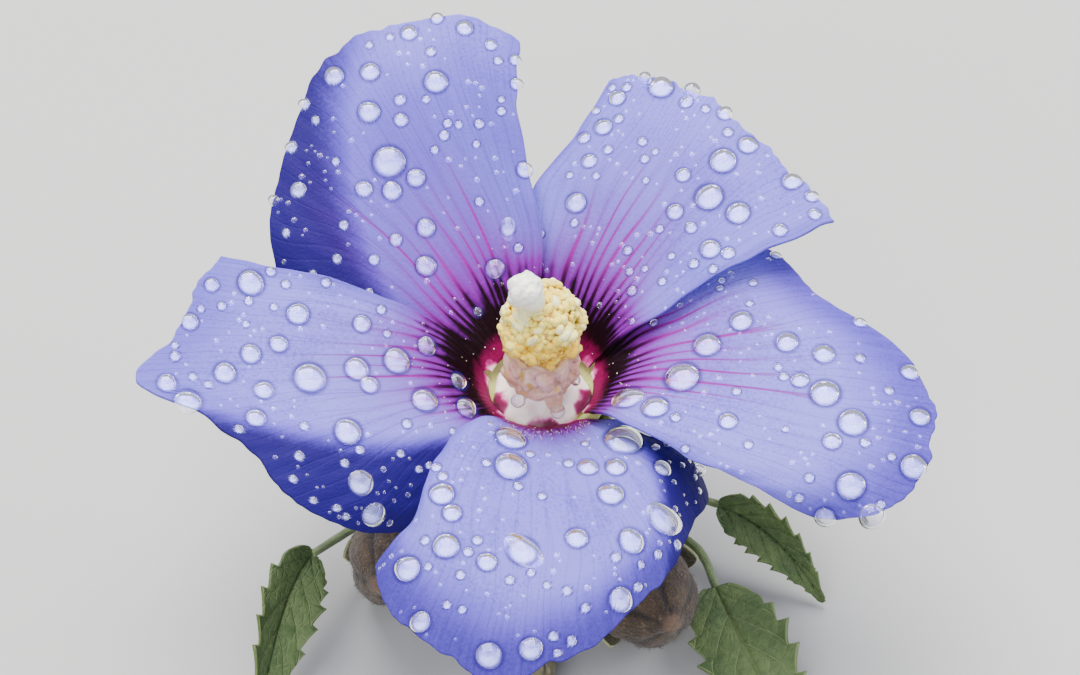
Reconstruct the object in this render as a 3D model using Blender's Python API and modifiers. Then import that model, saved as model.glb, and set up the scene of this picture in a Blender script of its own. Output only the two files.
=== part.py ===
"""A rose of sharon bloom on a short cut sprig, lying on a level surface.

Five overlapping petals flare from a funnel round the stamen column. Under them are
the green calyx with its narrow bracts, the flower stalk, a length of twig cut flat at
both ends, two ripe seed capsules and three toothed leaves.

The flower faces up, with a slight nod of its limb towards -Y. The twig runs along Y.
Sizes are in millimetres and angles in degrees, turned into metres as points are made.
"""

import math

import bmesh
import bpy
from mathutils import Vector

MM = 0.001

# The funnel of the flower: petals start on a ring and flare outwards.
RING_HEIGHT = 28.0
RING_RADIUS = 6.0
FUNNEL_DEPTH = 5.5
FUNNEL_REACH = 4.5
LIMB_SLOPE = 0.18
LIMB_NOD = 0.30
LIMB_LEAN = -0.03

# Each petal's clockwise side lies over its neighbour, as the blades of a pinwheel do.
PINWHEEL_LIFT = 1.3
PINWHEEL_START = 0.18
PETAL_THICKNESS = 0.7
PETAL_CELLS = 13

# A petal's sides are half-angles about its azimuth, from claw to corner. Its reach is
# the radius of its outer margin, from the clockwise corner round to the other one.
# Rolls and curl are how far those margins bend down.
PETALS = {
    "petal_back_left": {
        "azimuth": 128,
        "clockwise": (31, 37, 34, 32.5, 35.5),
        "anticlockwise": (31, 42, 43, 44, 46),
        "reach": (38, 40, 41, 42, 41.5, 38, 35.5, 32.5, 29),
        "roll_clockwise": 0.5,
        "roll_anticlockwise": 3.5,
        "curl": 1.5,
    },
    "petal_left": {
        "azimuth": 198,
        "clockwise": (28, 32, 33, 30.5, 28.5),
        "anticlockwise": (30, 37, 40.5, 41, 38),
        "reach": (37, 38.5, 40.5, 45, 38.5, 34, 32.5, 29, 22),
        "roll_clockwise": 0,
        "roll_anticlockwise": 7,
        "curl": -0.5,
    },
    "petal_front": {
        "azimuth": 272,
        "clockwise": (32, 42, 39.5, 32.5, 35.5),
        "anticlockwise": (32, 50, 53, 50, 44),
        "reach": (31.5, 35.5, 38, 40, 37, 33.5, 31.5, 28, 25.5),
        "roll_clockwise": 1.5,
        "roll_anticlockwise": 4,
        "curl": 3,
    },
    "petal_right": {
        "azimuth": 350,
        "clockwise": (29, 32.5, 31, 27.5, 26),
        "anticlockwise": (28, 40, 41, 39, 39),
        "reach": (38.5, 43.5, 45.5, 45, 44, 39.5, 32.5, 30, 28),
        "roll_clockwise": 2,
        "roll_anticlockwise": 1.5,
        "curl": 2,
    },
    "petal_back_right": {
        "azimuth": 54,
        "clockwise": (27, 35, 33, 32.5, 33),
        "anticlockwise": (31, 41, 39, 27.5, 23),
        "reach": (36.5, 35.5, 35, 35, 35.5, 35.5, 36, 35.5, 35),
        "roll_clockwise": 0,
        "roll_anticlockwise": 1,
        "curl": 1,
    },
}
CORNER_ROUNDING = 0.05
CORNER_SHARPNESS = 10

# How far out, as a share of the blade, each bend of the margins begins.
ROLL_CLOCKWISE_START = 0.4
ROLL_ANTICLOCKWISE_START = 0.2
CURL_START = 0.6

# The ovary and the foot above it stand upright in the calyx. The column of stamens on
# them leans a little towards the front. Profiles are (radius, height over the ring).
COLUMN_NOD = 7.0
FOOT_PROFILE = (
    (3.2, -11.4), (4.6, -9.6), (5.5, -6.0), (5.8, -2.5), (5.5, -1.2), (4.3, -0.3), (3.2, 0.6), (2.4, 1.3))
COLUMN_PROFILE = (
    (3.0, 2.3), (3.5, 3.4), (3.3, 5.4), (2.8, 7.6), (3.3, 9.4), (4.5, 11.2), (4.7, 13.0), (4.0, 15.2),
    (2.6, 16.3), (1.3, 16.6))
STIGMA_RADII = (2.3, 2.2, 2.6)
STIGMA_SHIFT = -1.7
STIGMA_HEIGHT = 19.5
COLUMN_SIDES = 20
STIGMA_CELLS = (12, 8)

# The calyx cup stands under the ring, and its five lobes spread under the petals.
CALYX_PROFILE = ((1.9, 14.6), (4.6, 15.6), (6.4, 18.4), (7.4, 22.0), (7.9, 25.2))
CALYX_LOBE_FIRST = 18.0
CALYX_LOBES = 5
CALYX_LOBE_RADIUS = 12.0
CALYX_NOTCH_RADIUS = 8.6
CALYX_OUTSET = 1.4
CALYX_DROP = 3.2
CALYX_SPREAD = 0.5
CALYX_THICKNESS = 0.8
CALYX_CUP = 0.5
CALYX_CELLS = (35, 8)

# Narrow bracts stand out round the foot of the calyx.
BRACTS = 7
BRACT_LENGTH = 11.0
BRACT_HALF_WIDTH = 0.8
BRACT_THICKNESS = 0.6
BRACT_START_RADIUS = 3.3
BRACT_START_HEIGHT = 13.9
BRACT_RISE = 18.0
BRACT_TAPER = 0.75
BRACT_TAPER_POWER = 1.5
BRACT_CELLS = (2, 6)

# The flower stalk and the twig, as (x, y, z, radius).
STALK_ROUTE = ((0.3, 3.4, 5.4, 1.2), (0.2, 3.0, 8.0, 1.1), (0.1, 1.4, 11.0, 1.2), (0.0, 0.2, 13.9, 1.9))
TWIG_ROUTE = (
    (-2.2, -39.2, 2.5, 2.5), (-1.4, -28.5, 2.4, 2.3), (-0.3, -18.0, 2.5, 2.4), (0.7, -7.0, 2.2, 2.1),
    (0.4, 3.4, 2.4, 2.3), (-0.9, 15.0, 2.0, 1.9), (-1.8, 27.0, 1.9, 1.8))
TUBE_SIDES = 10
THIN_TUBE_SIDES = 6
TUBE_STEPS = 3
LEAF_STALK_STEPS = 4

# Seed capsules: centre, the way the tip points, girth radius, half-length, and the
# route of the stalk from the twig, which goes on to the capsule's foot.
CAPSULES = {
    "capsule_left": {
        "centre": (-16.4, -8.6, 6.6), "tip": (-0.275, -0.823, 0.494), "girth": 6.3, "half": 8.2,
        "stalk": ((-2.4, -3.4, 2.6, 0.9), (-7.6, 0.2, 3.2, 0.8), (-12.4, 1.4, 2.0, 0.9))},
    "capsule_right": {
        "centre": (12.0, -14.0, 6.8), "tip": (0.342, -0.820, 0.456), "girth": 6.3, "half": 8.2,
        "stalk": ((3.6, -9.6, 2.4, 0.9), (5.2, -6.0, 2.6, 0.8), (7.6, -4.9, 2.0, 0.9))},
}
CAPSULE_STALK_GAP = 0.5
CAPSULE_STALK_END = 1.2
CAPSULE_RIBS = 5
CAPSULE_RIB_DEPTH = 0.05
CAPSULE_TAPER = 0.22
CAPSULE_CELLS = (20, 12)

# Leaves: midrib from base to tip by way of a middle point, half-width, roll of the
# blade about its midrib, fold along it, and the leaf stalk's route.
LEAVES = {
    "leaf_left": {
        "midrib": ((-26.9, -9.3, 8.0), (-31.2, -15.0, 8.0), (-33.0, -34.0, 0.7)),
        "half_width": 4.0, "roll": 42, "fold": 0.35,
        "stalk": ((-1.9, -1.4, 4.4, 0.7), (-10.0, 1.8, 6.4, 0.6), (-20.4, -2.0, 5.0, 0.55),
                  (-26.5, -8.9, 8.0, 0.5))},
    "leaf_right": {
        "midrib": ((21.4, -1.0, 6.4), (28.4, -4.4, 7.0), (33.8, -11.0, 0.7)),
        "half_width": 3.2, "roll": -46, "fold": 0.35,
        "stalk": ((3.2, 1.0, 3.4, 0.7), (9.0, 3.4, 6.6, 0.55), (20.7, -0.6, 6.5, 0.5))},
    "leaf_front": {
        "midrib": ((20.8, -10.4, 2.6), (24.2, -21.5, 3.8), (31.5, -36.4, 0.6)),
        "half_width": 5.6, "roll": -4, "fold": 0.10,
        "stalk": ((3.5, -3.6, 2.6, 0.7), (12.0, -1.4, 3.0, 0.6), (18.6, -4.0, 2.2, 0.55),
                  (20.7, -9.6, 2.3, 0.5))},
}
LEAF_THICKNESS = 0.5
LEAF_CELLS = (6, 12)

# A leaf's outline is a sine wave: where it starts and how much of it there is, and how
# far its widest place is drawn to the base and how full it is.
LEAF_START = 0.03
LEAF_SHARE = 0.96
LEAF_SHOULDER = 0.72
LEAF_FULLNESS = 0.85

MERGE_DISTANCE = 0.01

COLOURS = {
    "petal": (0.26, 0.27, 0.72, 1.0),
    "column": (0.90, 0.84, 0.62, 1.0),
    "calyx": (0.30, 0.40, 0.14, 1.0),
    "bark": (0.24, 0.20, 0.12, 1.0),
    "capsule": (0.16, 0.11, 0.06, 1.0),
    "leaf": (0.07, 0.15, 0.05, 1.0),
}


def ease(x):
    """A smooth step from 0 to 1 as x goes from 0 to 1."""
    x = min(max(x, 0.0), 1.0)
    return x * x * (3.0 - 2.0 * x)


def spline(values, x):
    """The value at x, from 0 to 1, of a smooth curve through evenly spaced values."""
    last = len(values) - 1
    x = min(max(x, 0.0), 1.0) * last
    i = min(int(x), last - 1)
    f = x - i
    a = values[i]
    b = values[i + 1]
    before = values[i - 1] if i > 0 else 2.0 * a - b
    after = values[i + 2] if i + 2 <= last else 2.0 * b - a
    rise = (b - before) * f
    bend = (2.0 * before - 5.0 * a + 4.0 * b - after) * f * f
    twist = (3.0 * a - before - 3.0 * b + after) * f * f * f
    return 0.5 * (2.0 * a + rise + bend + twist)


def spline_point(points, x):
    """A point of a smooth curve through points, each number on its own spline."""
    return [spline([p[k] for p in points], x) for k in range(len(points[0]))]


def beyond(x, start):
    """0 up to start, then a growing bend that reaches 1 at x = 1."""
    return max(0.0, (x - start) / (1.0 - start)) ** 2


def limb_height(radius, angle):
    """Height of the petals' common surface over the ring, at a radius and an angle."""
    out = radius - RING_RADIUS
    slope = LIMB_SLOPE + LIMB_NOD * math.sin(angle) + LIMB_LEAN * math.cos(angle)
    return FUNNEL_DEPTH * (1.0 - math.exp(-out / FUNNEL_REACH)) + slope * out


def petal_point(petal, across, along):
    """A petal's upper face: across runs from -1, clockwise, to 1, and along from 0 to 1."""
    side = petal["clockwise"] if across < 0.0 else petal["anticlockwise"]
    half = spline(side, along) * (1.0 - CORNER_ROUNDING * along ** CORNER_SHARPNESS)
    angle = math.radians(petal["azimuth"] + half * across)
    reach = spline(petal["reach"], 0.5 * (across + 1.0))
    reach *= 1.0 - CORNER_ROUNDING * abs(across) ** CORNER_SHARPNESS
    radius = RING_RADIUS + along * (reach - RING_RADIUS)
    height = limb_height(radius, angle)
    height -= PINWHEEL_LIFT * across * ease(along / PINWHEEL_START)
    height -= petal["roll_clockwise"] * beyond(-across, ROLL_CLOCKWISE_START) * along
    height -= petal["roll_anticlockwise"] * beyond(across, ROLL_ANTICLOCKWISE_START) * along
    height -= petal["curl"] * beyond(along, CURL_START)
    return Vector((radius * math.cos(angle), radius * math.sin(angle), RING_HEIGHT + height)) * MM


def leaf_frame(leaf, along):
    """A point of the midrib, with the blade's sideways and upward directions there."""
    base, middle, tip = [Vector(p) for p in leaf["midrib"]]
    point = base * (1.0 - along) ** 2 + middle * 2.0 * along * (1.0 - along) + tip * along ** 2
    tangent = ((middle - base) * (1.0 - along) + (tip - middle) * along).normalized()
    side = tangent.cross(Vector((0.0, 0.0, 1.0))).normalized()
    up = side.cross(tangent)
    roll = math.radians(leaf["roll"])
    return point, side * math.cos(roll) + up * math.sin(roll), up * math.cos(roll) - side * math.sin(roll)


def leaf_point(leaf, across, along):
    """A leaf's upper face: across runs from -1 to 1, and along from its base to its tip."""
    point, side, up = leaf_frame(leaf, along)
    outline = math.sin(math.pi * (LEAF_START + LEAF_SHARE * along) ** LEAF_SHOULDER)
    half = leaf["half_width"] * outline ** LEAF_FULLNESS
    return (point + side * half * across + up * half * leaf["fold"] * abs(across)) * MM


def make_material(name, colour, roughness):
    """A plain material of one colour."""
    material = bpy.data.materials.new(name)
    material.use_nodes = True
    shader = material.node_tree.nodes["Principled BSDF"]
    shader.inputs["Base Color"].default_value = colour
    shader.inputs["Roughness"].default_value = roughness
    shader.inputs["Metallic"].default_value = 0.0
    return material


def add_object(name, bm, colour, parts):
    """Turns a bmesh into a named, smoothly shaded object with its own material."""
    mesh = bpy.data.meshes.new(name)
    bm.to_mesh(mesh)
    bm.free()
    mesh.shade_smooth()
    piece = bpy.data.objects.new(name, mesh)
    mesh.materials.append(make_material(name, COLOURS[colour], 0.55))
    parts.objects.link(piece)
    return piece


def add_thickness(piece, thickness):
    """Gives an open blade its thickness, on its underside."""
    solid = piece.modifiers.new("thickness", "SOLIDIFY")
    solid.thickness = thickness * MM
    solid.offset = -1.0


def make_blade(name, point_at, cells, thickness, colour, parts):
    """A thin blade from a grid whose cells are placed by point_at(across, along)."""
    bm = bmesh.new()
    bmesh.ops.create_grid(bm, x_segments=cells[0], y_segments=cells[1], size=1.0)
    for vert in bm.verts:
        vert.co = point_at(-vert.co.x, 0.5 * (vert.co.y + 1.0))
    piece = add_object(name, bm, colour, parts)
    add_thickness(piece, thickness)
    return piece


def make_petals(parts):
    for name, petal in PETALS.items():
        def place(across, along, petal=petal):
            return petal_point(petal, across, along)
        make_blade(name, place, (PETAL_CELLS, PETAL_CELLS), PETAL_THICKNESS, "petal", parts)


def make_turned(name, profile, sides, colour, parts):
    """A solid of revolution about Z from (radius, height) points, listed from the foot up."""
    bm = bmesh.new()
    heights = [h for _, h in profile]
    points = [(0.0, heights[-1])] + list(reversed(profile)) + [(0.0, heights[0])]
    verts = [bm.verts.new(Vector((r, 0.0, h)) * MM) for r, h in points]
    for a, b in zip(verts, verts[1:]):
        bm.edges.new((a, b))
    piece = add_object(name, bm, colour, parts)
    turn = piece.modifiers.new("turn", "SCREW")
    turn.axis = "Z"
    turn.steps = sides
    turn.render_steps = sides
    turn.use_merge_vertices = True
    turn.merge_threshold = MERGE_DISTANCE * MM
    return piece


def make_column(parts):
    """The upright foot, and the column of stamens and the stigma that lean together."""
    ring = Vector((0.0, 0.0, RING_HEIGHT)) * MM
    lean = math.radians(COLUMN_NOD)
    foot = make_turned("column_foot", FOOT_PROFILE, COLUMN_SIDES, "column", parts)
    foot.location = ring
    column = make_turned("stamen_column", COLUMN_PROFILE, COLUMN_SIDES, "column", parts)
    column.location = ring
    column.rotation_euler = (lean, 0.0, 0.0)
    bm = bmesh.new()
    around, up = STIGMA_CELLS
    bmesh.ops.create_uvsphere(bm, u_segments=around, v_segments=up, radius=1.0)
    for vert in bm.verts:
        x, y, z = [c * size for c, size in zip(vert.co, STIGMA_RADII)]
        vert.co = Vector((x + STIGMA_SHIFT, y, z + STIGMA_HEIGHT)) * MM
    stigma = add_object("stigma", bm, "column", parts)
    stigma.location = ring
    stigma.rotation_euler = (lean, 0.0, 0.0)


def calyx_point(turn, along):
    """The calyx's outer face: turn goes once round, and along runs from foot to lobe tip."""
    angle = 2.0 * math.pi * turn
    lobe = math.cos(0.5 * CALYX_LOBES * (angle - math.radians(CALYX_LOBE_FIRST)))
    edge = CALYX_NOTCH_RADIUS + (CALYX_LOBE_RADIUS - CALYX_NOTCH_RADIUS) * lobe ** 2
    if along < CALYX_CUP:
        radius, height = spline_point(CALYX_PROFILE, along / CALYX_CUP)
    else:
        rim_radius, rim_height = CALYX_PROFILE[-1]
        radius = rim_radius + (edge - rim_radius) * (along - CALYX_CUP) / (1.0 - CALYX_CUP)
        under = RING_HEIGHT + limb_height(radius - CALYX_OUTSET, angle)
        under -= CALYX_DROP + CALYX_SPREAD * (radius - rim_radius)
        blend = ease(radius - rim_radius)
        height = under * blend + rim_height * (1.0 - blend)
    return Vector((radius * math.cos(angle), radius * math.sin(angle), height)) * MM


def make_calyx(parts):
    """A cup of green with five lobes, closed at its foot."""
    around, up = CALYX_CELLS
    bm = bmesh.new()
    bmesh.ops.create_grid(bm, x_segments=around, y_segments=up, size=1.0)
    for vert in bm.verts:
        vert.co = calyx_point(0.5 * (vert.co.x + 1.0), 0.5 * (vert.co.y + 1.0))
    bmesh.ops.remove_doubles(bm, verts=bm.verts[:], dist=MERGE_DISTANCE * MM)
    first_height, second_height = [height for _, height in CALYX_PROFILE[:2]]
    low = 0.5 * (first_height + second_height) * MM
    foot = [e for e in bm.edges if e.is_boundary and e.verts[0].co.z < low]
    bmesh.ops.contextual_create(bm, geom=foot)
    bmesh.ops.triangulate(bm, faces=[f for f in bm.faces if len(f.verts) > 4])
    bmesh.ops.recalc_face_normals(bm, faces=bm.faces[:])
    lowest = min(bm.faces, key=lambda f: f.calc_center_median().z)
    if lowest.normal.z > 0.0:
        bmesh.ops.reverse_faces(bm, faces=bm.faces[:])
    piece = add_object("calyx", bm, "calyx", parts)
    solid = piece.modifiers.new("thickness", "SOLIDIFY")
    solid.thickness = CALYX_THICKNESS * MM
    solid.offset = -1.0


def make_bracts(parts):
    """Narrow pointed bracts, evenly spread round the foot of the calyx."""
    for i in range(BRACTS):
        turn = 2.0 * math.pi * (i + 0.5) / BRACTS

        def place(across, along, turn=turn):
            out = BRACT_START_RADIUS + BRACT_LENGTH * along
            wide = BRACT_HALF_WIDTH * across * (1.0 - BRACT_TAPER * along ** BRACT_TAPER_POWER)
            high = BRACT_START_HEIGHT + BRACT_LENGTH * math.tan(math.radians(BRACT_RISE)) * along ** 2
            return Vector((
                out * math.cos(turn) - wide * math.sin(turn),
                out * math.sin(turn) + wide * math.cos(turn),
                high)) * MM
        make_blade(f"bract_{i + 1}", place, BRACT_CELLS, BRACT_THICKNESS, "calyx", parts)


def make_tube(name, route, sides, steps, colour, parts):
    """A tapering round limb along a smooth route of (x, y, z, radius), flat at both ends."""
    curve = bpy.data.curves.new(name, "CURVE")
    curve.dimensions = "3D"
    curve.bevel_depth = MM
    curve.bevel_resolution = (sides - 4) // 2
    curve.use_fill_caps = True
    line = curve.splines.new("POLY")
    count = steps * (len(route) - 1) + 1
    line.points.add(count - 1)
    for i in range(count):
        x, y, z, radius = spline_point(route, i / (count - 1))
        line.points[i].co = (x * MM, y * MM, z * MM, 1.0)
        line.points[i].radius = radius
    piece = bpy.data.objects.new(name, curve)
    curve.materials.append(make_material(name, COLOURS[colour], 0.7))
    parts.objects.link(piece)
    return piece


def make_twig(parts):
    make_tube("twig", TWIG_ROUTE, TUBE_SIDES, TUBE_STEPS, "bark", parts)
    make_tube("flower_stalk", STALK_ROUTE, TUBE_SIDES, TUBE_STEPS, "calyx", parts)


def make_capsules(parts):
    """Ovoid capsules with five soft ribs, each on a short stalk from the twig."""
    for name, capsule in CAPSULES.items():
        bm = bmesh.new()
        around, up = CAPSULE_CELLS
        bmesh.ops.create_uvsphere(bm, u_segments=around, v_segments=up, radius=1.0)
        turn = Vector((0.0, 0.0, 1.0)).rotation_difference(Vector(capsule["tip"]))
        for vert in bm.verts:
            angle = math.atan2(vert.co.y, vert.co.x)
            rib = 1.0 - CAPSULE_RIB_DEPTH * (1.0 - abs(math.cos(0.5 * CAPSULE_RIBS * angle)))
            taper = 1.0 - CAPSULE_TAPER * max(0.0, vert.co.z) ** 2
            girth = capsule["girth"] * rib * taper
            ovoid = Vector((vert.co.x * girth, vert.co.y * girth, vert.co.z * capsule["half"]))
            vert.co = (turn @ ovoid + Vector(capsule["centre"])) * MM
        add_object(name, bm, "capsule", parts)
        foot = Vector(capsule["centre"]) - Vector(capsule["tip"]) * (capsule["half"] + CAPSULE_STALK_GAP)
        route = capsule["stalk"] + ((*foot, CAPSULE_STALK_END),)
        make_tube(f"{name}_stalk", route, THIN_TUBE_SIDES, TUBE_STEPS, "calyx", parts)


def make_leaves(parts):
    for name, leaf in LEAVES.items():
        def place(across, along, leaf=leaf):
            return leaf_point(leaf, across, along)
        make_blade(name, place, LEAF_CELLS, LEAF_THICKNESS, "leaf", parts)
        make_tube(f"{name}_stalk", leaf["stalk"], THIN_TUBE_SIDES, LEAF_STALK_STEPS, "leaf", parts)


def main():
    for old in list(bpy.data.objects):
        bpy.data.objects.remove(old, do_unlink=True)
    parts = bpy.data.collections.new("rose_of_sharon")
    bpy.context.scene.collection.children.link(parts)
    make_petals(parts)
    make_column(parts)
    make_calyx(parts)
    make_bracts(parts)
    make_twig(parts)
    make_capsules(parts)
    make_leaves(parts)


main()
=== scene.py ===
"""The looks of a rose of sharon bloom after rain, on a short cut sprig.

Lengths named here are in millimetres and angles in degrees, unless they say otherwise.
"""

import math
import random

import bmesh
import bpy
from mathutils import Matrix, Vector, noise
from mathutils.bvhtree import BVHTree


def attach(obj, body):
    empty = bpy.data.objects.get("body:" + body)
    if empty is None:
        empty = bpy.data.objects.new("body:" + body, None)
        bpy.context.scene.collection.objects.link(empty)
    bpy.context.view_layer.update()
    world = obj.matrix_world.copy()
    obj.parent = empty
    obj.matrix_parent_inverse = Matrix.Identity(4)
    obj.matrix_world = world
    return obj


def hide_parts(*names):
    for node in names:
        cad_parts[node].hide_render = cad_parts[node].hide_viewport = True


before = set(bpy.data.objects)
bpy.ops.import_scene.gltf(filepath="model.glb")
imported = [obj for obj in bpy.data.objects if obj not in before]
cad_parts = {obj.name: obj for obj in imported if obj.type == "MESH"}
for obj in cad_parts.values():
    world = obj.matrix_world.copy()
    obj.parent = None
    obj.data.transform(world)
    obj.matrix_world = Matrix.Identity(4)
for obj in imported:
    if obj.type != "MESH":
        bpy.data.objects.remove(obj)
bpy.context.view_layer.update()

MM = 0.001
BODY = "root"

# The petals' common shape, as in the frame.
RING_HEIGHT = 28.0
RING_RADIUS = 6.0
FUNNEL_DEPTH = 5.5
FUNNEL_REACH = 4.5
LIMB_SLOPE = 0.18
LIMB_NOD = 0.30
LIMB_LEAN = -0.03
PINWHEEL_LIFT = 1.3
PINWHEEL_START = 0.18
CLAW_OVERLAP = 9.0
CLAW_SPREAD = 3.0
# Each petal's last line, apart from its corner, sets how deep its violet goes: painted shade on its rolled
# side and over its body, and a darker far margin.
PETALS = {
    "petal_back_left": {
        "azimuth": 128,
        "clockwise": (31, 37, 34, 32.5, 35.5),
        "anticlockwise": (31, 42, 43, 44, 46),
        "reach": (38, 40, 41, 42, 41.5, 38, 35.5, 32.5, 29),
        "roll_clockwise": 0.5, "roll_anticlockwise": 3.5, "curl": 1.5,
        "vein_reach": 0.60, "vein_middle": 0.10, "eye": 10.6, "eye_lean": 0.0,
        "tone_and_painted_shade": (1.6, -0.6, 0.8, 0.90), "margin": 0.12, "tone": 0.38, "corner": 0.04,
    },
    "petal_left": {
        "azimuth": 198,
        "clockwise": (28, 32, 33, 30.5, 28.5),
        "anticlockwise": (30, 37, 40.5, 41, 38),
        "reach": (37, 38.5, 40.5, 44, 38.8, 35.2, 33.6, 29.3, 22),
        "roll_clockwise": 0, "roll_anticlockwise": 7, "curl": -0.5,
        "vein_reach": 0.54, "vein_middle": -0.25, "eye": 10.2, "eye_lean": -2.0,
        "tone_and_painted_shade": (1.05, -0.25, 0.42, 1.0), "margin": 0.30, "tone": 0.0, "corner": 0.01,
    },
    "petal_front": {
        "azimuth": 272,
        "clockwise": (32, 42, 40.5, 35.0, 38.5),
        "anticlockwise": (32, 50, 54, 56.5, 56),
        "reach": (32.8, 36.2, 38, 39.5, 37.5, 33.5, 29.0, 25.0, 23.8),
        "roll_clockwise": 1.5, "roll_anticlockwise": 4, "curl": 3,
        "vein_reach": 0.17, "vein_middle": 0.0, "eye": 6.7, "eye_lean": 0.0,
        "tone_and_painted_shade": (0.9, 0.25, 0.35, 1.0), "margin": 0.62, "tone": 0.14, "corner": 0.04,
    },
    "petal_right": {
        "azimuth": 350,
        "clockwise": (29, 32.5, 31, 27.5, 26),
        "anticlockwise": (28, 40, 41, 41, 42),
        "reach": (38.5, 43.5, 45.5, 45, 44, 39.5, 33, 31.2, 30.8),
        "roll_clockwise": 2, "roll_anticlockwise": 1.5, "curl": 2,
        "vein_reach": 0.64, "vein_middle": 0.25, "eye": 9.6, "eye_lean": 2.2,
        "tone_and_painted_shade": (0.4, 0.30, 0.90, 0.15), "margin": 0.50, "tone": 0.0, "corner": 0.05,
    },
    "petal_back_right": {
        "azimuth": 54,
        "clockwise": (27, 35, 33, 32.5, 33),
        "anticlockwise": (31, 41, 39, 27.5, 23),
        "reach": (36.5, 35.5, 35, 35, 35.5, 35.5, 36, 35.5, 35),
        "roll_clockwise": 0, "roll_anticlockwise": 1, "curl": 1,
        "vein_reach": 0.58, "vein_middle": 0.05, "eye": 10.2, "eye_lean": 0.5,
        "tone_and_painted_shade": (0.1, 0.55, 0.50, 0.25), "margin": 0.15, "tone": 0.20, "corner": 0.015,
    },
}
BEAK_PETAL = "petal_left"
BEAK_ACROSS = -0.22
BEAK_SPREAD = 0.10
BEAK_LENGTH = 1.4
PETAL_SKIN = 0.35
FLOOR_GAP = 0.06
PETAL_CELLS = 180

# Fine relief of the petals: veins, pleats, ruffled and notched margins, wrinkles.
VEINS = 8.0
VEIN_UNEVENNESS = 0.24
VEIN_CROWDING = 11.0
VEIN_GROOVE = 0.012
PLEAT = 0.035
RUFFLE = 0.6
NOTCH = 0.35
WRINKLE = 0.03
CRINKLE = 0.16

# The camera stands at the photograph's viewing angle. VIEW_CENTRE is what it looks at.
VIEW_ELEVATION = 50.0
VIEW_DISTANCE = 344.43
VIEW_CENTRE = Vector((-0.115, 4.265, 31.579))
LENS = 100.0
SENSOR = 36.0
PICTURE = (1080, 675)
FOCAL_PIXELS = LENS / SENSOR * PICTURE[0]

# The largest raindrops: their places in the picture, and their widths.
LARGE_DROPS = (
    (389, 162, 3.8), (392, 191, 2.3), (416, 178, 2.2), (364, 189, 2.0), (369, 112, 2.6),
    (436, 82, 2.8), (370, 72, 2.3), (334, 76, 2.4), (409, 33, 2.0), (465, 28, 2.0),
    (491, 45, 1.5), (525, 170, 2.0), (401, 120, 1.7), (400, 100, 1.4), (304, 104, 1.5),
    (298, 190, 2.0), (426, 228, 2.2), (426, 266, 2.4), (396, 240, 1.5), (374, 260, 1.3),
    (495, 269, 2.3), (251, 283, 3.0), (298, 314, 2.6), (362, 324, 2.1), (251, 354, 2.3),
    (279, 344, 2.1), (225, 373, 2.5), (264, 390, 2.2), (310, 378, 3.6), (357, 369, 2.8),
    (370, 385, 2.1), (397, 361, 3.1), (427, 346, 2.3), (188, 402, 3.0), (167, 383, 2.2),
    (256, 418, 2.3), (348, 432, 3.1), (361, 483, 3.0), (374, 515, 2.8), (425, 400, 3.0),
    (467, 408, 2.6), (459, 381, 2.2), (446, 546, 2.9), (407, 569, 3.0), (577, 538, 2.5),
    (632, 541, 3.0), (611, 494, 2.9), (511, 466, 3.7), (588, 467, 2.3), (616, 467, 2.4),
    (663, 468, 2.2), (442, 494, 2.8), (452, 513, 2.2), (487, 562, 2.2), (531, 649, 2.6),
    (489, 656, 2.9), (621, 600, 2.8), (420, 622, 2.4), (825, 393, 3.4), (853, 423, 3.3),
    (851, 486, 3.2), (787, 342, 2.6), (741, 321, 2.6), (824, 354, 2.4), (832, 441, 2.1),
    (910, 372, 2.2), (920, 417, 2.3), (914, 467, 3.0), (800, 380, 2.0), (728, 421, 2.1),
    (682, 377, 4.0), (655, 407, 3.0), (707, 345, 3.1), (825, 518, 2.4), (872, 517, 3.0),
    (709, 197, 3.3), (738, 213, 2.8), (723, 161, 3.1), (576, 203, 2.4), (661, 87, 2.9),
    (617, 98, 2.0), (692, 91, 2.4), (686, 102, 1.7), (603, 127, 2.1), (589, 161, 1.8),
    (584, 138, 1.5), (683, 175, 1.8), (675, 212, 2.0), (710, 249, 2.4), (728, 253, 1.6),
    (748, 145, 2.3), (792, 181, 2.4), (780, 230, 1.7), (725, 113, 1.9), (691, 228, 1.4),
    (511, 438, 3.6), (517, 84, 1.6), (516, 60, 1.5), (437, 18, 1.6), (291, 147, 1.6),
    (273, 200, 1.5), (645, 78, 1.8), (190, 322, 2.0), (212, 285, 1.7), (812, 196, 1.6),
    (815, 214, 1.5), (776, 255, 1.5), (860, 322, 1.6), (700, 470, 1.6),
)

# Drops that run down the petal, with their lengths as well.
RUNNING_DROPS = (
    (523, 551, 3.4, 5.2), (664, 519, 3.6, 5.0), (624, 440, 4.4, 5.0), (508, 229, 1.7, 3.0),
    (628, 398, 3.3, 4.4),
)
SMALL_DROPS_EACH_PETAL = 115
SMALL_DROP_WIDTHS = (0.42, 1.3)
SMALL_GLOW_WIDTH = 0.9
DROP_DOME = 0.27
DROP_FLATTENING = 0.02

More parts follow.
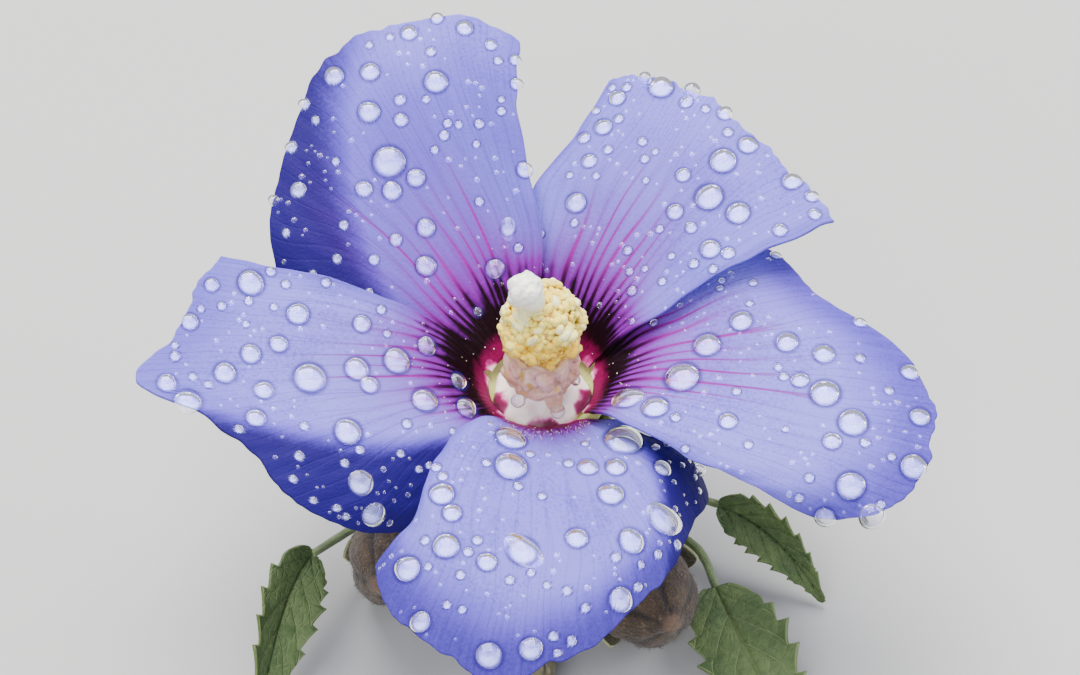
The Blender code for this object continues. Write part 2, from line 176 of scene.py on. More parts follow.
# The stamen column, as in the frame. CLAW_BEARING is where one petal's claw meets its foot.
COLUMN_NOD = 7.0
CLAW_BEARING = math.radians(54.0)
FOOT_PROFILE = (
    (3.2, -11.4), (4.6, -9.6), (5.5, -6.0), (5.8, -2.5), (5.5, -1.2), (4.3, -0.3), (3.2, 0.6), (2.4, 1.3))
LINING_PROFILE = (
    (5.0, -2.2), (6.6, -1.6), (7.7, -0.9), (7.6, -0.6), (6.5, -1.1), (5.6, -1.6), (5.0, -1.9))
PROFILE_STEPS = 60
COLUMN_PROFILE = (
    (3.0, 2.3), (3.5, 3.4), (3.3, 5.4), (2.8, 7.6), (3.3, 9.4), (4.5, 11.2), (4.7, 13.0), (4.0, 15.2),
    (2.6, 16.3), (1.3, 16.6))
STIGMA_RADII = (2.3, 2.2, 2.6)
STIGMA_SHIFT = -1.7
STIGMA_HEIGHT = 19.5
STIGMA_TAPER = 0.02
STIGMA_LOBES = 5
ANTHERS = 720
ANTHER_SIZES = (0.32, 0.62)
ANTHERS_FOOT = 9.3
ANTHERS_RISE = 7.6

# Waterdrops on the column: place, half-width and stretch.
COLUMN_WATERDROPS = (
    (1.9, -4.6, 29.2, 0.85, 1.2), (-2.6, -4.1, 30.4, 0.85, 0.9), (3.9, -2.4, 32.0, 0.6, 1.2))
GRAINS_EACH_PETAL = 20
LIP_HAIRS = 90

# Drenched filaments that droop round the tube: bearing, distance out, height over the
# ring, girth radius and half-length.
DROOPING_LOBES = (
    (-68, 3.1, 4.1, 1.10, 3.4), (-96, 2.9, 5.6, 1.25, 2.6), (-128, 2.9, 4.9, 1.20, 2.4),
    (-20, 3.2, 6.2, 1.20, 2.2), (-44, 2.9, 5.8, 1.25, 2.4), (16, 3.0, 6.4, 1.15, 2.2),
    (56, 2.7, 5.0, 1.10, 2.5), (92, 2.7, 5.2, 1.15, 2.6), (128, 2.7, 5.0, 1.10, 2.4),
    (164, 2.9, 5.6, 1.10, 2.4), (-158, 2.9, 5.2, 1.10, 2.2), (-112, 3.1, 7.2, 1.20, 2.2),
    (-80, 3.2, 7.4, 1.25, 2.2), (-52, 3.2, 7.6, 1.20, 2.1), (-8, 3.3, 8.0, 1.15, 2.0),
    (30, 3.0, 8.0, 1.15, 2.0), (70, 3.0, 8.0, 1.15, 2.0), (110, 3.0, 8.0, 1.15, 2.0),
    (150, 3.1, 8.0, 1.15, 2.0), (-142, 3.1, 7.6, 1.15, 2.1))

# Breathing pores of the bark, kept in bins along the twig, and its swollen joints.
PORES = 90
PORE_BINS = 40
TWIG_JOINTS = (0.42, 0.545, 0.62, 0.66)

# The calyx, bracts and stalks, as in the frame.
CALYX_PROFILE = ((1.9, 14.6), (4.6, 15.6), (6.4, 18.4), (7.4, 22.0), (7.9, 25.2))
CALYX_LOBE_FIRST = 18.0
CALYX_LOBES = 5
CALYX_LOBE_RADIUS = 12.0
CALYX_NOTCH_RADIUS = 8.6
CALYX_OUTSET = 1.4
CALYX_DROP = 3.2
CALYX_SPREAD = 0.5
CALYX_CUP = 0.5
CALYX_SKIN = 0.6
CALYX_CELLS = (240, 60)
CALYX_HAIRS = 1500
BRACTS = 7
BRACT_HAIRS = 500
STALK_HAIRS = 400
BRACT_LENGTH = 11.0
BRACT_HALF_WIDTH = 0.8
BRACT_SKIN = 0.5
BRACT_START_RADIUS = 3.3
BRACT_START_HEIGHT = 13.9
BRACT_RISE = 18.0
BRACT_ROOT = 0.18
BRACT_ROOT_REACH = 1.5
BRACT_ROOT_RISE = 0.45
STALK_ROUTE = ((0.3, 3.4, 5.4, 1.2), (0.2, 3.0, 8.0, 1.1), (0.1, 1.4, 11.0, 1.2), (0.0, 0.2, 13.9, 1.9))
TWIG_ROUTE = (
    (-2.2, -39.2, 2.5, 2.5), (-1.4, -28.5, 2.4, 2.3), (-0.3, -18.0, 2.5, 2.4), (0.7, -7.0, 2.2, 2.1),
    (0.4, 3.4, 2.4, 2.3), (-0.9, 15.0, 2.0, 1.9), (-1.8, 27.0, 1.9, 1.8))
CAPSULES = {
    "capsule_left": {
        "centre": (-16.4, -8.6, 6.6), "tip": (-0.275, -0.823, 0.494), "girth": 6.3, "half": 8.2,
        "stalk": ((-2.4, -3.4, 2.6, 0.9), (-7.6, 0.2, 3.2, 0.8), (-12.4, 1.4, 2.0, 0.9))},
    "capsule_right": {
        "centre": (12.0, -14.0, 6.8), "tip": (0.342, -0.820, 0.456), "girth": 6.3, "half": 8.2,
        "stalk": ((3.6, -9.6, 2.4, 0.9), (5.2, -6.0, 2.6, 0.8), (7.6, -4.9, 2.0, 0.9))},
}
CAPSULE_VALVES = 5
CAPSULE_HAIRS = 1500
REMAINS_SKIN = 0.35
LEAVES = {
    "leaf_left": {
        "midrib": ((-26.9, -9.3, 8.0), (-31.2, -15.0, 8.0), (-33.0, -34.0, 0.7)),
        "half_width": 4.0, "roll": 42, "fold": 0.35,
        "stalk": ((-1.9, -1.4, 4.4, 0.7), (-10.0, 1.8, 6.4, 0.6), (-20.4, -2.0, 5.0, 0.55),
                  (-26.5, -8.9, 8.0, 0.5))},
    "leaf_right": {
        "midrib": ((21.4, -1.0, 6.4), (28.4, -4.4, 7.0), (33.8, -11.0, 0.7)),
        "half_width": 3.2, "roll": -46, "fold": 0.35,
        "stalk": ((3.2, 1.0, 3.4, 0.7), (9.0, 3.4, 6.6, 0.55), (20.7, -0.6, 6.5, 0.5))},
    "leaf_front": {
        "midrib": ((20.8, -10.4, 2.6), (24.2, -21.5, 3.8), (31.5, -36.4, 0.6)),
        "half_width": 5.6, "roll": -4, "fold": 0.10,
        "stalk": ((3.5, -3.6, 2.6, 0.7), (12.0, -1.4, 3.0, 0.6), (18.6, -4.0, 2.2, 0.55),
                  (20.7, -9.6, 2.3, 0.5))},
}
LEAF_SKIN = 0.3
LEAF_CELLS = (28, 110)
LEAF_TEETH = 8
LEAF_SIDE_VEINS = 6


# Smooth curves and the petals' surface.

def ease(x):
    """A smooth step from 0 to 1 as x goes from 0 to 1."""
    x = min(max(x, 0.0), 1.0)
    return x * x * (3.0 - 2.0 * x)


def spline(values, x):
    """The value at x, from 0 to 1, of a smooth curve through evenly spaced values."""
    last = len(values) - 1
    x = min(max(x, 0.0), 1.0) * last
    i = min(int(x), last - 1)
    f = x - i
    a = values[i]
    b = values[i + 1]
    before = values[i - 1] if i > 0 else 2.0 * a - b
    after = values[i + 2] if i + 2 <= last else 2.0 * b - a
    rise = (b - before) * f
    bend = (2.0 * before - 5.0 * a + 4.0 * b - after) * f * f
    twist = (3.0 * a - before - 3.0 * b + after) * f * f * f
    return 0.5 * (2.0 * a + rise + bend + twist)


def spline_point(points, x):
    """A point of a smooth curve through points, each number on its own spline."""
    return [spline([p[k] for p in points], x) for k in range(len(points[0]))]


def waver(x, y, z):
    """A smooth random value at a place, about -1 to 1."""
    return noise.noise(Vector((x, y, z)))


def limb_height(radius, angle):
    """Height of the petals' common surface over the ring, at a radius and an angle."""
    out = radius - RING_RADIUS
    slope = LIMB_SLOPE + LIMB_NOD * math.sin(angle) + LIMB_LEAN * math.cos(angle)
    return FUNNEL_DEPTH * (1.0 - math.exp(-out / FUNNEL_REACH)) + slope * out


def petal_point(petal, across, along):
    """A petal's upper face: across runs from -1, clockwise, to 1, and along from 0 to 1."""
    side = petal["clockwise"] if across < 0.0 else petal["anticlockwise"]
    half = spline(side, along) * (1.0 - petal["corner"] * along ** 10)
    claw = ease(along / 0.07) * ease((0.42 - along) / 0.3)
    half += claw * (CLAW_OVERLAP if across > 0.0 else CLAW_SPREAD)
    angle = math.radians(petal["azimuth"] + half * across)
    reach = spline(petal["reach"], 0.5 * (across + 1.0)) * (1.0 - petal["corner"] * abs(across) ** 10)
    if petal is PETALS[BEAK_PETAL]:
        reach += BEAK_LENGTH * math.exp(-((across - BEAK_ACROSS) / BEAK_SPREAD) ** 2)
    radius = RING_RADIUS + along * (reach - RING_RADIUS)
    height = limb_height(radius, angle)
    height -= PINWHEEL_LIFT * across * ease(along / PINWHEEL_START)
    height -= 0.5 * claw * max(across, 0.0) ** 3
    height -= petal["roll_clockwise"] * max(0.0, (-across - 0.4) / 0.6) ** 2 * along
    height -= petal["roll_anticlockwise"] * max(0.0, (across - 0.2) / 0.8) ** 2 * along
    height -= petal["curl"] * max(0.0, (along - 0.6) / 0.4) ** 2
    return Vector((radius * math.cos(angle), radius * math.sin(angle), RING_HEIGHT + height))


def vein_place(across, along, phase):
    """Where a point lies among the main veins: whole numbers are veins."""
    sway = 0.16 * math.sin(6.0 * along + 4.0 * across + phase)
    sway += VEIN_UNEVENNESS * math.sin(VEIN_CROWDING * across + phase)
    return VEINS * across + sway + 0.08 * math.sin(13.0 * along - 9.0 * across + 2.0 * phase)


def petal_skin(petal, across, along):
    """The upper face with its fine relief, in millimetres."""
    phase = petal["azimuth"]
    margin = ease((along - 0.78) / 0.22)
    side = ease((abs(across) - 0.75) / 0.25) * ease(along / 0.3)
    notch = waver(across * 6.0, phase, 0.3)
    notch += 0.5 * waver(across * 17.0, phase, 5.1)
    wave = waver(along * 9.0, phase + across, 2.7)
    reach = 0.5 * (petal["reach"][4] - RING_RADIUS)
    point = petal_point(
        petal,
        across * (1.0 + 0.02 * wave * side),
        along + NOTCH * margin * notch / reach)
    drift = vein_place(across, along, phase)
    gap = abs(drift - round(drift))
    point.z -= VEIN_GROOVE * math.exp(-(gap / 0.11) ** 2) * ease(along / 0.25) * (1.0 - 0.6 * along)
    point.z += PLEAT * math.sin(math.pi * drift * 0.8 + phase) * ease(along * 1.6) * (1.0 - side)
    ruffle = waver(across * 4.2, phase, along * 1.5)
    point.z += RUFFLE * margin * (1.0 - 0.5 * side) * ruffle
    point.z += 0.45 * side * waver(along * 7.0, across, phase)
    radial = waver(across * 22.0, along * 4.5, phase)
    point.z += WRINKLE * ease(along * 1.4) * radial
    crumple = waver(across * 15.0, along * 9.0, phase)
    point.z += CRINKLE * petal_tone_and_painted_shade(petal, across, along) * crumple * ease((along - 0.3) / 0.3)
    return point * MM


def vein_reach(petal, across):
    """How far the magenta runs out along a petal's veins: farthest on its middle ones."""
    side = ease((abs(across - petal["vein_middle"]) - 0.30) / 0.55)
    return petal["vein_reach"] * (1.0 - 0.70 * side)


def petal_tone_and_painted_shade(petal, across, along):
    """How deep a petal's violet is: 0 in its pale middle, up to 1 on its rolled side, where it is painted
    shade.
    """
    slope, start, spread, depth = petal["tone_and_painted_shade"]
    # Painted shade where the petal's side rolls down, away from the light.
    painted_rolled_shade = depth * ease((across + slope * (along - 1.0) - start) / spread)
    # Darker towards the far margin.
    margin = petal["margin"] * ease((along - 0.66) / 0.30)
    # Darker along both side edges.
    side = 0.35 * ease((abs(across) - 0.80) / 0.20) * ease(along / 0.3)
    # Painted shade over the body of a petal that gets less light, fading towards its tip.
    tone = petal["tone"] * (1.0 - 0.6 * ease((along - 0.70) / 0.25))
    return max(painted_rolled_shade, margin, side, tone)


# Shader nodes.

class Shading:
    """Adds nodes to one node tree and joins them."""

    def __init__(self, tree):
        self.tree = tree

    def put(self, socket, value):
        if isinstance(value, bpy.types.NodeSocket):
            self.tree.links.new(value, socket)
        else:
            socket.default_value = value

    def node(self, kind, inputs=None, **settings):
        made = self.tree.nodes.new(kind)
        for key, value in settings.items():
            setattr(made, key, value)
        for key, value in (inputs or {}).items():
            self.put(made.inputs[key], value)
        return made

    def math(self, operation, *values):
        made = self.node("ShaderNodeMath", operation=operation)
        for socket, value in zip(made.inputs, values):
            self.put(socket, value)
        return made.outputs[0]

    def line(self, value, slope, offset):
        return self.math("MULTIPLY_ADD", value, slope, offset)

    def times(self, first, second):
        return self.math("MULTIPLY", first, second)

    def less(self, first, second):
        return self.math("SUBTRACT", first, second)

    def radius(self, place):
        """The distance from the flower's axis."""
        x, y, _ = self.split(place)
        return self.math("SQRT", self.line(x, x, self.times(y, y)))

    def fade(self, value, start, end):
        """0 at start and 1 at end, smoothly."""
        made = self.node("ShaderNodeMapRange", interpolation_type="SMOOTHSTEP")
        self.put(made.inputs["Value"], value)
        self.put(made.inputs["From Min"], start)
        self.put(made.inputs["From Max"], end)
        return made.outputs["Result"]

    def mix(self, factor, first, second):
        made = self.node("ShaderNodeMix", data_type="RGBA")
        self.put(made.inputs[0], factor)
        self.put(made.inputs[6], first)
        self.put(made.inputs[7], second)
        return made.outputs[2]

    def noise(self, vector, scale, detail=2.0, roughness=0.5, distortion=0.0):
        made = self.node("ShaderNodeTexNoise", {
            "Vector": vector, "Scale": scale, "Detail": detail,
            "Roughness": roughness, "Distortion": distortion})
        return made.outputs[0]

    def join(self, x, y, z=0.0):
        return self.node("ShaderNodeCombineXYZ", {"X": x, "Y": y, "Z": z}).outputs[0]

    def split(self, vector):
        return self.node("ShaderNodeSeparateXYZ", {"Vector": vector}).outputs

    def place(self):
        """The point on the piece, in millimetres."""
        where = self.node("ShaderNodeTexCoord").outputs["Object"]
        made = self.node("ShaderNodeVectorMath", {"Vector": where}, operation="SCALE")
        made.inputs["Scale"].default_value = 1.0 / MM
        return made.outputs[0]

    def blade(self):
        """Across, from -1 to 1, and along, from 0 to 1, of the piece's blade map."""
        where = self.split(self.node("ShaderNodeUVMap", uv_map="blade").outputs[0])
        across = self.math("MULTIPLY_ADD", where[0], 2.0, -1.0)
        return across, where[1]

    def attribute(self, name):
        return self.node("ShaderNodeAttribute", attribute_name=name).outputs["Fac"]

    def bump(self, height, distance, strength=1.0):
        made = self.node("ShaderNodeBump", {
            "Height": height, "Distance": distance * MM, "Strength": strength})
        return made.outputs[0]

    def mottled(self, place, blotch, dark, light):
        return self.group(MOTTLE, {"Place": place, "Blotch": blotch, "Dark": dark, "Light": light})

    def felted(self, place, fineness):
        return self.group(DOWN, {"Place": place, "Fineness": fineness})

    def finish(self, shader, colour, height, depth, strength):
        """Joins a colour and a relief of some depth to a shader."""
        self.put(shader.inputs["Base Color"], colour)
        self.put(shader.inputs["Normal"], self.bump(height, depth, strength))

    def group(self, tree, inputs):
        made = self.node("ShaderNodeGroup", node_tree=tree)
        for key, value in inputs.items():
            self.put(made.inputs[key], value)
        return made.outputs


def new_material(name, roughness=0.5, **constants):
    """A material with its nodes, and its shader with plain values on its own sockets."""
    material = bpy.data.materials.new(name)
    material.use_nodes = True
    shader = material.node_tree.nodes["Principled BSDF"]
    shader.inputs["Roughness"].default_value = roughness
    for key, value in constants.items():
        shader.inputs[key.replace("_", " ")].default_value = value
    return material, Shading(material.node_tree), shader


def new_group(name, inputs, outputs):
    """An empty shader group with named float, vector and colour sockets."""
    tree = bpy.data.node_groups.new(name, "ShaderNodeTree")
    for key, kind in inputs:
        tree.interface.new_socket(name=key, in_out="INPUT", socket_type=kind)
    for key, kind in outputs:
        tree.interface.new_socket(name=key, in_out="OUTPUT", socket_type=kind)
    shading = Shading(tree)
    source = shading.node("NodeGroupInput").outputs
    target = shading.node("NodeGroupOutput").inputs
    return tree, shading, source, target


FLOAT = "NodeSocketFloat"
VECTOR = "NodeSocketVector"
COLOUR = "NodeSocketColor"


def fan_veins_group():
    """Veins that fan out over a petal and branch: masks of the main veins and of all."""
    tree, s, source, target = new_group(
        "fan_veins",
        [("Across", FLOAT), ("Along", FLOAT), ("Phase", FLOAT), ("Radius", FLOAT)],
        [("Main", FLOAT), ("All", FLOAT), ("Chance", FLOAT), ("Nearness", FLOAT)])
    across, along, phase, radius = [source[k] for k in ("Across", "Along", "Phase", "Radius")]
    first = s.math("ADD", s.line(along, 6.0, phase), s.times(across, 4.0))
    second = s.line(along, 13.0, s.times(phase, 2.0))
    second = s.line(across, -9.0, second)
    sway = s.times(s.math("SINE", first), 0.16)
    sway = s.line(s.math("SINE", second), 0.08, sway)
    crowd = s.math("SINE", s.line(across, VEIN_CROWDING, phase))
    sway = s.line(crowd, VEIN_UNEVENNESS, sway)
    drift = s.line(across, VEINS, sway)
    number = s.math("ROUND", drift)
    gap = s.math("ABSOLUTE", s.less(drift, number))
    chance = s.node("ShaderNodeTexWhiteNoise", noise_dimensions="2D")
    s.put(chance.inputs["Vector"], s.join(number, phase))
    chance = chance.outputs["Value"]
    width = s.math("MAXIMUM", s.math("ADD", s.math("DIVIDE", 3.9, radius), -0.08), 0.03)
    width = s.times(width, s.line(chance, 0.5, 0.72))
    main = s.fade(gap, width, 0.0)
    start = s.line(chance, 0.25, 0.25)
    spread = s.fade(s.less(along, start), 0.0, 0.45)
    branch_gap = s.math("ABSOLUTE", s.line(spread, -0.34, gap))
    branch = s.fade(branch_gap, s.times(width, 0.8), 0.0)
    finer = s.times(branch, 0.8)
    s.put(target["Main"], main)
    s.put(target["All"], s.math("MAXIMUM", main, finer))
    s.put(target["Chance"], chance)
    s.put(target["Nearness"], s.line(gap, -2.0, 1.0))
    return tree


def mottle_group():
    """Blotches of a light and a dark tone, with finer ones over them."""
    tree, s, source, target = new_group(
        "mottle",
        [("Place", VECTOR), ("Blotch", FLOAT), ("Dark", COLOUR), ("Light", COLOUR)],
        [("Colour", COLOUR), ("Value", FLOAT)])
    broad = s.noise(source["Place"], source["Blotch"], 3.0, 0.55)
    fine = s.noise(source["Place"], s.times(source["Blotch"], 6.0), 2.0, 0.6)
    value = s.line(fine, 0.35, s.times(broad, 0.65))
    value = s.fade(value, 0.32, 0.68)
    s.put(target["Colour"], s.mix(value, source["Dark"], source["Light"]))
    s.put(target["Value"], value)
    return tree


def down_group():
    """The height of short felted hairs over a broader unevenness."""
    tree, s, source, target = new_group(
        "down", [("Place", VECTOR), ("Fineness", FLOAT)], [("Height", FLOAT)])
    hairs = s.node("ShaderNodeTexVoronoi", feature="F1")
    s.put(hairs.inputs["Vector"], source["Place"])
    s.put(hairs.inputs["Scale"], source["Fineness"])
    broad = s.noise(source["Place"], s.times(source["Fineness"], 0.3), 3.0, 0.6)
    s.put(target["Height"], s.line(hairs.outputs["Distance"], -0.6, broad))
    return tree


# Colours, in linear light. The upper faces of the petals.
LAVENDER = (0.190, 0.172, 0.68, 1.0)
VIOLET = (0.082, 0.056, 0.43, 1.0)
INDIGO = (0.012, 0.005, 0.105, 1.0)
MAGENTA = (0.21, 0.004, 0.22, 1.0)
PURPLE = (0.16, 0.003, 0.25, 1.0)
DARK_VEIN = (0.030, 0.0008, 0.028, 1.0)
MAROON = (0.0055, 0.0002, 0.0022, 1.0)
CRIMSON = (0.17, 0.001, 0.05, 1.0)
CLAW_PINK = (0.50, 0.04, 0.24, 1.0)
CLAW_WHITE = (0.90, 0.68, 0.64, 1.0)
# The glint is painted light that each drop gathers on the petal under it.
GLINT = (0.46, 0.50, 0.95, 1.0)

# The petals' undersides.
BACK_DEEP = (0.24, 0.22, 0.66, 1.0)
BACK_LILAC = (0.40, 0.38, 0.80, 1.0)
BACK_VEIN = (0.52, 0.48, 0.84, 1.0)
BACK_FLUSH = (0.36, 0.16, 0.34, 1.0)
BACK_CLAW = (0.66, 0.64, 0.42, 1.0)

# Rain water.
WATER_PALE = (0.90, 0.90, 1.0, 1.0)
WATER_SHADOW = (0.86, 0.86, 0.97, 1.0)

# The stamen column.
FOOT_PINK = (0.92, 0.70, 0.66, 1.0)
FOOT_WHITE = (0.97, 0.88, 0.86, 1.0)
FOOT_WALL = (0.46, 0.42, 0.07, 1.0)
FLESH_DARK = (0.54, 0.25, 0.16, 1.0)
FLESH_LIGHT = (0.84, 0.54, 0.42, 1.0)
FLESH_GOLD = (0.66, 0.40, 0.09, 1.0)
# The ochre of the pollen is partly painted shade in the hollows of the anther mass, and its palest cream
# partly painted light on the bulges.
POLLEN_CREAM = (0.95, 0.74, 0.12, 1.0)
POLLEN_GOLD = (0.86, 0.50, 0.010, 1.0)
POLLEN_OCHRE_SHADE = (0.44, 0.21, 0.012, 1.0)
POLLEN_PALE_LIT = (0.97, 0.87, 0.46, 1.0)
POLLEN_SPECK = (0.95, 0.88, 0.56, 1.0)
STIGMA_GREEN = (0.94, 0.93, 0.66, 1.0)
STIGMA_WHITE = (0.98, 0.98, 0.90, 1.0)
STIGMA_FOOT = (0.86, 0.78, 0.38, 1.0)
GRAIN_CREAM = (0.88, 0.82, 0.72, 1.0)
GRAIN_BROWN = (0.22, 0.17, 0.06, 1.0)
LINING_DARK = (0.36, 0.36, 0.035, 1.0)
LINING_LIGHT = (0.58, 0.54, 0.09, 1.0)

# Green parts.
GREEN_RIB = (0.46, 0.55, 0.24, 1.0)
CALYX_DARK = (0.16, 0.22, 0.035, 1.0)
CALYX_LIGHT = (0.38, 0.44, 0.09, 1.0)
BRACT_DARK = (0.09, 0.16, 0.04, 1.0)
BRACT_LIGHT = (0.24, 0.34, 0.10, 1.0)
STALK_DARK = (0.10, 0.15, 0.04, 1.0)
STALK_LIGHT = (0.24, 0.32, 0.10, 1.0)
DOWN_GREEN = (0.42, 0.46, 0.26, 1.0)
DOWN_PALE = (0.70, 0.72, 0.55, 1.0)
LEAF_DARK = (0.007, 0.022, 0.004, 1.0)
LEAF_LIGHT = (0.024, 0.058, 0.008, 1.0)
LEAF_VEIN = (0.16, 0.23, 0.06, 1.0)
UNDER_DARK = (0.05, 0.09, 0.03, 1.0)
UNDER_LIGHT = (0.11, 0.16, 0.055, 1.0)
UNDER_VEIN = (0.26, 0.32, 0.14, 1.0)
STEM_DARK = (0.07, 0.12, 0.03, 1.0)
STEM_LIGHT = (0.17, 0.24, 0.07, 1.0)

# Twig and capsules.
BARK_DARK = (0.115, 0.085, 0.045, 1.0)
BARK_LIGHT = (0.30, 0.25, 0.16, 1.0)
BARK_CRACK = (0.045, 0.032, 0.018, 1.0)
BARK_GREEN = (0.16, 0.19, 0.06, 1.0)
BARK_PORE = (0.48, 0.42, 0.31, 1.0)
WOOD_DARK = (0.60, 0.50, 0.30, 1.0)
WOOD_LIGHT = (0.78, 0.70, 0.48, 1.0)
WOOD_RING = (0.46, 0.35, 0.18, 1.0)
WOOD_PITH = (0.66, 0.60, 0.44, 1.0)
WOOD_RIND = (0.26, 0.34, 0.10, 1.0)
WOOD_EDGE = (0.12, 0.09, 0.05, 1.0)
HUSK_DARK = (0.024, 0.013, 0.006, 1.0)
HUSK_LIGHT = (0.085, 0.050, 0.022, 1.0)
HUSK_FELT = (0.15, 0.10, 0.055, 1.0)
HUSK_SEAM = (0.014, 0.008, 0.004, 1.0)
HUSK_BEAK = (0.13, 0.075, 0.045, 1.0)
FELT_DARK = (0.055, 0.032, 0.016, 1.0)
DRY_DARK = (0.12, 0.10, 0.04, 1.0)
DRY_LIGHT = (0.30, 0.26, 0.12, 1.0)


def petal_face_material():
    """A satin upper face: lavender with fanned veins round a maroon eye."""
    material, s, shader = new_material("petal_face", Specular_IOR_Level=0.07)
    across, along = s.blade()
    place = s.place()
    radius = s.radius(place)
    phase = s.attribute("phase")
    reach = s.attribute("vein_reach")
    eye = s.attribute("eye")
    veins = s.group(FAN_VEINS, {"Across": across, "Along": along, "Phase": phase, "Radius": radius})
    streaks = s.noise(s.join(s.times(across, 34.0), s.times(along, 2.2), phase), 1.0, 3.0)
    cells = s.noise(place, 2.6, 3.0, 0.65)
    broad = s.noise(place, 0.09, 2.0)
    tone = s.line(streaks, 0.30, s.times(broad, 0.80))
    tone = s.line(cells, 0.80, tone)
    colour = s.mix(s.fade(tone, 0.52, 1.08), VIOLET, LAVENDER)
    # Painted shade: the violet deepens to indigo where the petal rolls away from the light, on petals that
    # get less light and towards the margins, broken up by the cells and streaks.
    uneven = s.line(cells, 0.22, s.times(streaks, 0.22))
    tone_and_painted_shade = s.less(s.math("ADD", s.attribute("tone_and_painted_shade"), uneven), 0.22)
    colour = s.mix(s.fade(tone_and_painted_shade, 0.0, 0.6), colour, VIOLET)
    colour = s.mix(s.fade(tone_and_painted_shade, 0.35, 0.9), colour, INDIGO)
    lines = s.times(veins["All"], s.fade(along, 0.15, 0.4))
    colour = s.mix(s.times(lines, 0.16), colour, INDIGO)
    past = s.less(radius, eye)
    spread = s.times(reach, 9.5)
    halo = s.math("EXPONENT", s.math("DIVIDE", s.less(1.4, past), spread))
    halo = s.times(halo, s.line(veins["Nearness"], 0.45, 0.85))
    halo = s.math("MINIMUM", halo, 0.97)
    colour = s.mix(halo, colour, PURPLE)
    tip = s.times(reach, s.line(veins["Chance"], 0.6, 0.7))
    flush = s.fade(s.less(tip, along), 0.0, 0.30)
    red = s.times(flush, s.fade(veins["All"], 0.0, 0.7))
    vein = s.mix(s.fade(past, 4.6, 0.6), MAGENTA, DARK_VEIN)
    colour = s.mix(s.math("MINIMUM", red, 1.0), colour, vein)
    rough = s.line(veins["Nearness"], -1.5, past)
    rough = s.line(s.noise(place, 0.5, 2.0), 3.4, rough)
    rough = s.line(veins["Chance"], 1.2, rough)
    dark = s.fade(rough, 3.4, 0.6)
    colour = s.mix(dark, colour, MAROON)
    base = s.line(s.noise(place, 0.9, 2.0), 1.2, radius)
    colour = s.mix(s.fade(base, 8.6, 7.2), colour, CRIMSON)
    base = s.line(s.fade(s.math("ABSOLUTE", across), 0.75, 0.15), 2.2, base)
    colour = s.mix(s.fade(base, 7.4, 6.9), colour, CLAW_PINK)
    colour = s.mix(s.fade(base, 7.0, 6.5), colour, CLAW_WHITE)
    # A painted contact shadow: a thin indigo ring round each drop.
    colour = s.mix(s.times(s.attribute("painted_rim_shade"), 0.75), colour, INDIGO)
    # Painted light gathered under the drops, kept faint over the eye's purple and maroon.
    clear = s.times(s.line(halo, -0.8, 1.0), s.less(1.0, dark))
    glow = s.times(s.attribute("glow"), s.line(clear, 0.58, 0.03))
    colour = s.mix(glow, colour, GLINT)
    grain = s.noise(s.join(s.times(across, 90.0), s.times(along, 30.0), phase), 1.0, 2.0)
    height = s.line(veins["All"], -0.5, s.times(streaks, 0.5))
    height = s.line(grain, 0.35, height)
    height = s.line(cells, 1.3, height)
    s.finish(shader, colour, height, 0.10, 0.6)
    s.put(shader.inputs["Roughness"], s.line(cells, 0.22, 0.40))
    return material


def petal_back_material():
    """The paler underside, with raised veins and a green-white claw."""
    material, s, shader = new_material("petal_back", Sheen_Weight=0.25, Specular_IOR_Level=0.35)
    across, along = s.blade()
    place = s.place()
    radius = s.radius(place)
    veins = s.group(FAN_VEINS, {
        "Across": across, "Along": along, "Phase": s.attribute("phase"), "Radius": radius})
    mottle = s.mottled(place, 0.16, BACK_DEEP, BACK_LILAC)
    colour = s.mix(s.times(veins["All"], 0.4), mottle["Colour"], BACK_VEIN)
    colour = s.mix(s.fade(radius, 14.0, 9.0), colour, BACK_FLUSH)
    colour = s.mix(s.fade(radius, 9.5, 7.0), colour, BACK_CLAW)
    height = s.line(veins["All"], 1.0, s.times(s.noise(place, 2.2, 3.0), 0.5))
    s.finish(shader, colour, height, 0.2, 0.8)
    s.put(shader.inputs["Roughness"], s.line(mottle["Value"], 0.15, 0.45))
    return material


def water_material():
    """Rain water: pale in the middle of a drop, with painted violet shade along its rim, and clear to
    shadow rays.
    """
    material, s, shader = new_material(
        "rain_water", 0.06, Transmission_Weight=0.96, IOR=1.333, Specular_IOR_Level=0.08)
    # Painted shade: the drop turns violet where its face turns edge-on to the camera.
    painted_rim_shade = s.node("ShaderNodeLayerWeight", {"Blend": 0.5}).outputs["Facing"]
    painted_rim_shade = s.fade(painted_rim_shade, 0.35, 0.9)
    clear = s.node("ShaderNodeBsdfTransparent", {"Color": WATER_SHADOW})
    path = s.node("ShaderNodeLightPath")
    both = s.node("ShaderNodeMixShader")
    s.put(both.inputs[0], path.outputs["Is Shadow Ray"])
    s.put(both.inputs[1], shader.outputs[0])
    s.put(both.inputs[2], clear.outputs[0])
    ripple = s.noise(s.place(), 0.8, 1.0)
    s.finish(shader, s.mix(painted_rim_shade, WATER_PALE, BACK_DEEP), ripple, 0.05, 0.3)
    s.put(s.tree.nodes["Material Output"].inputs["Surface"], both.outputs[0])
    return material


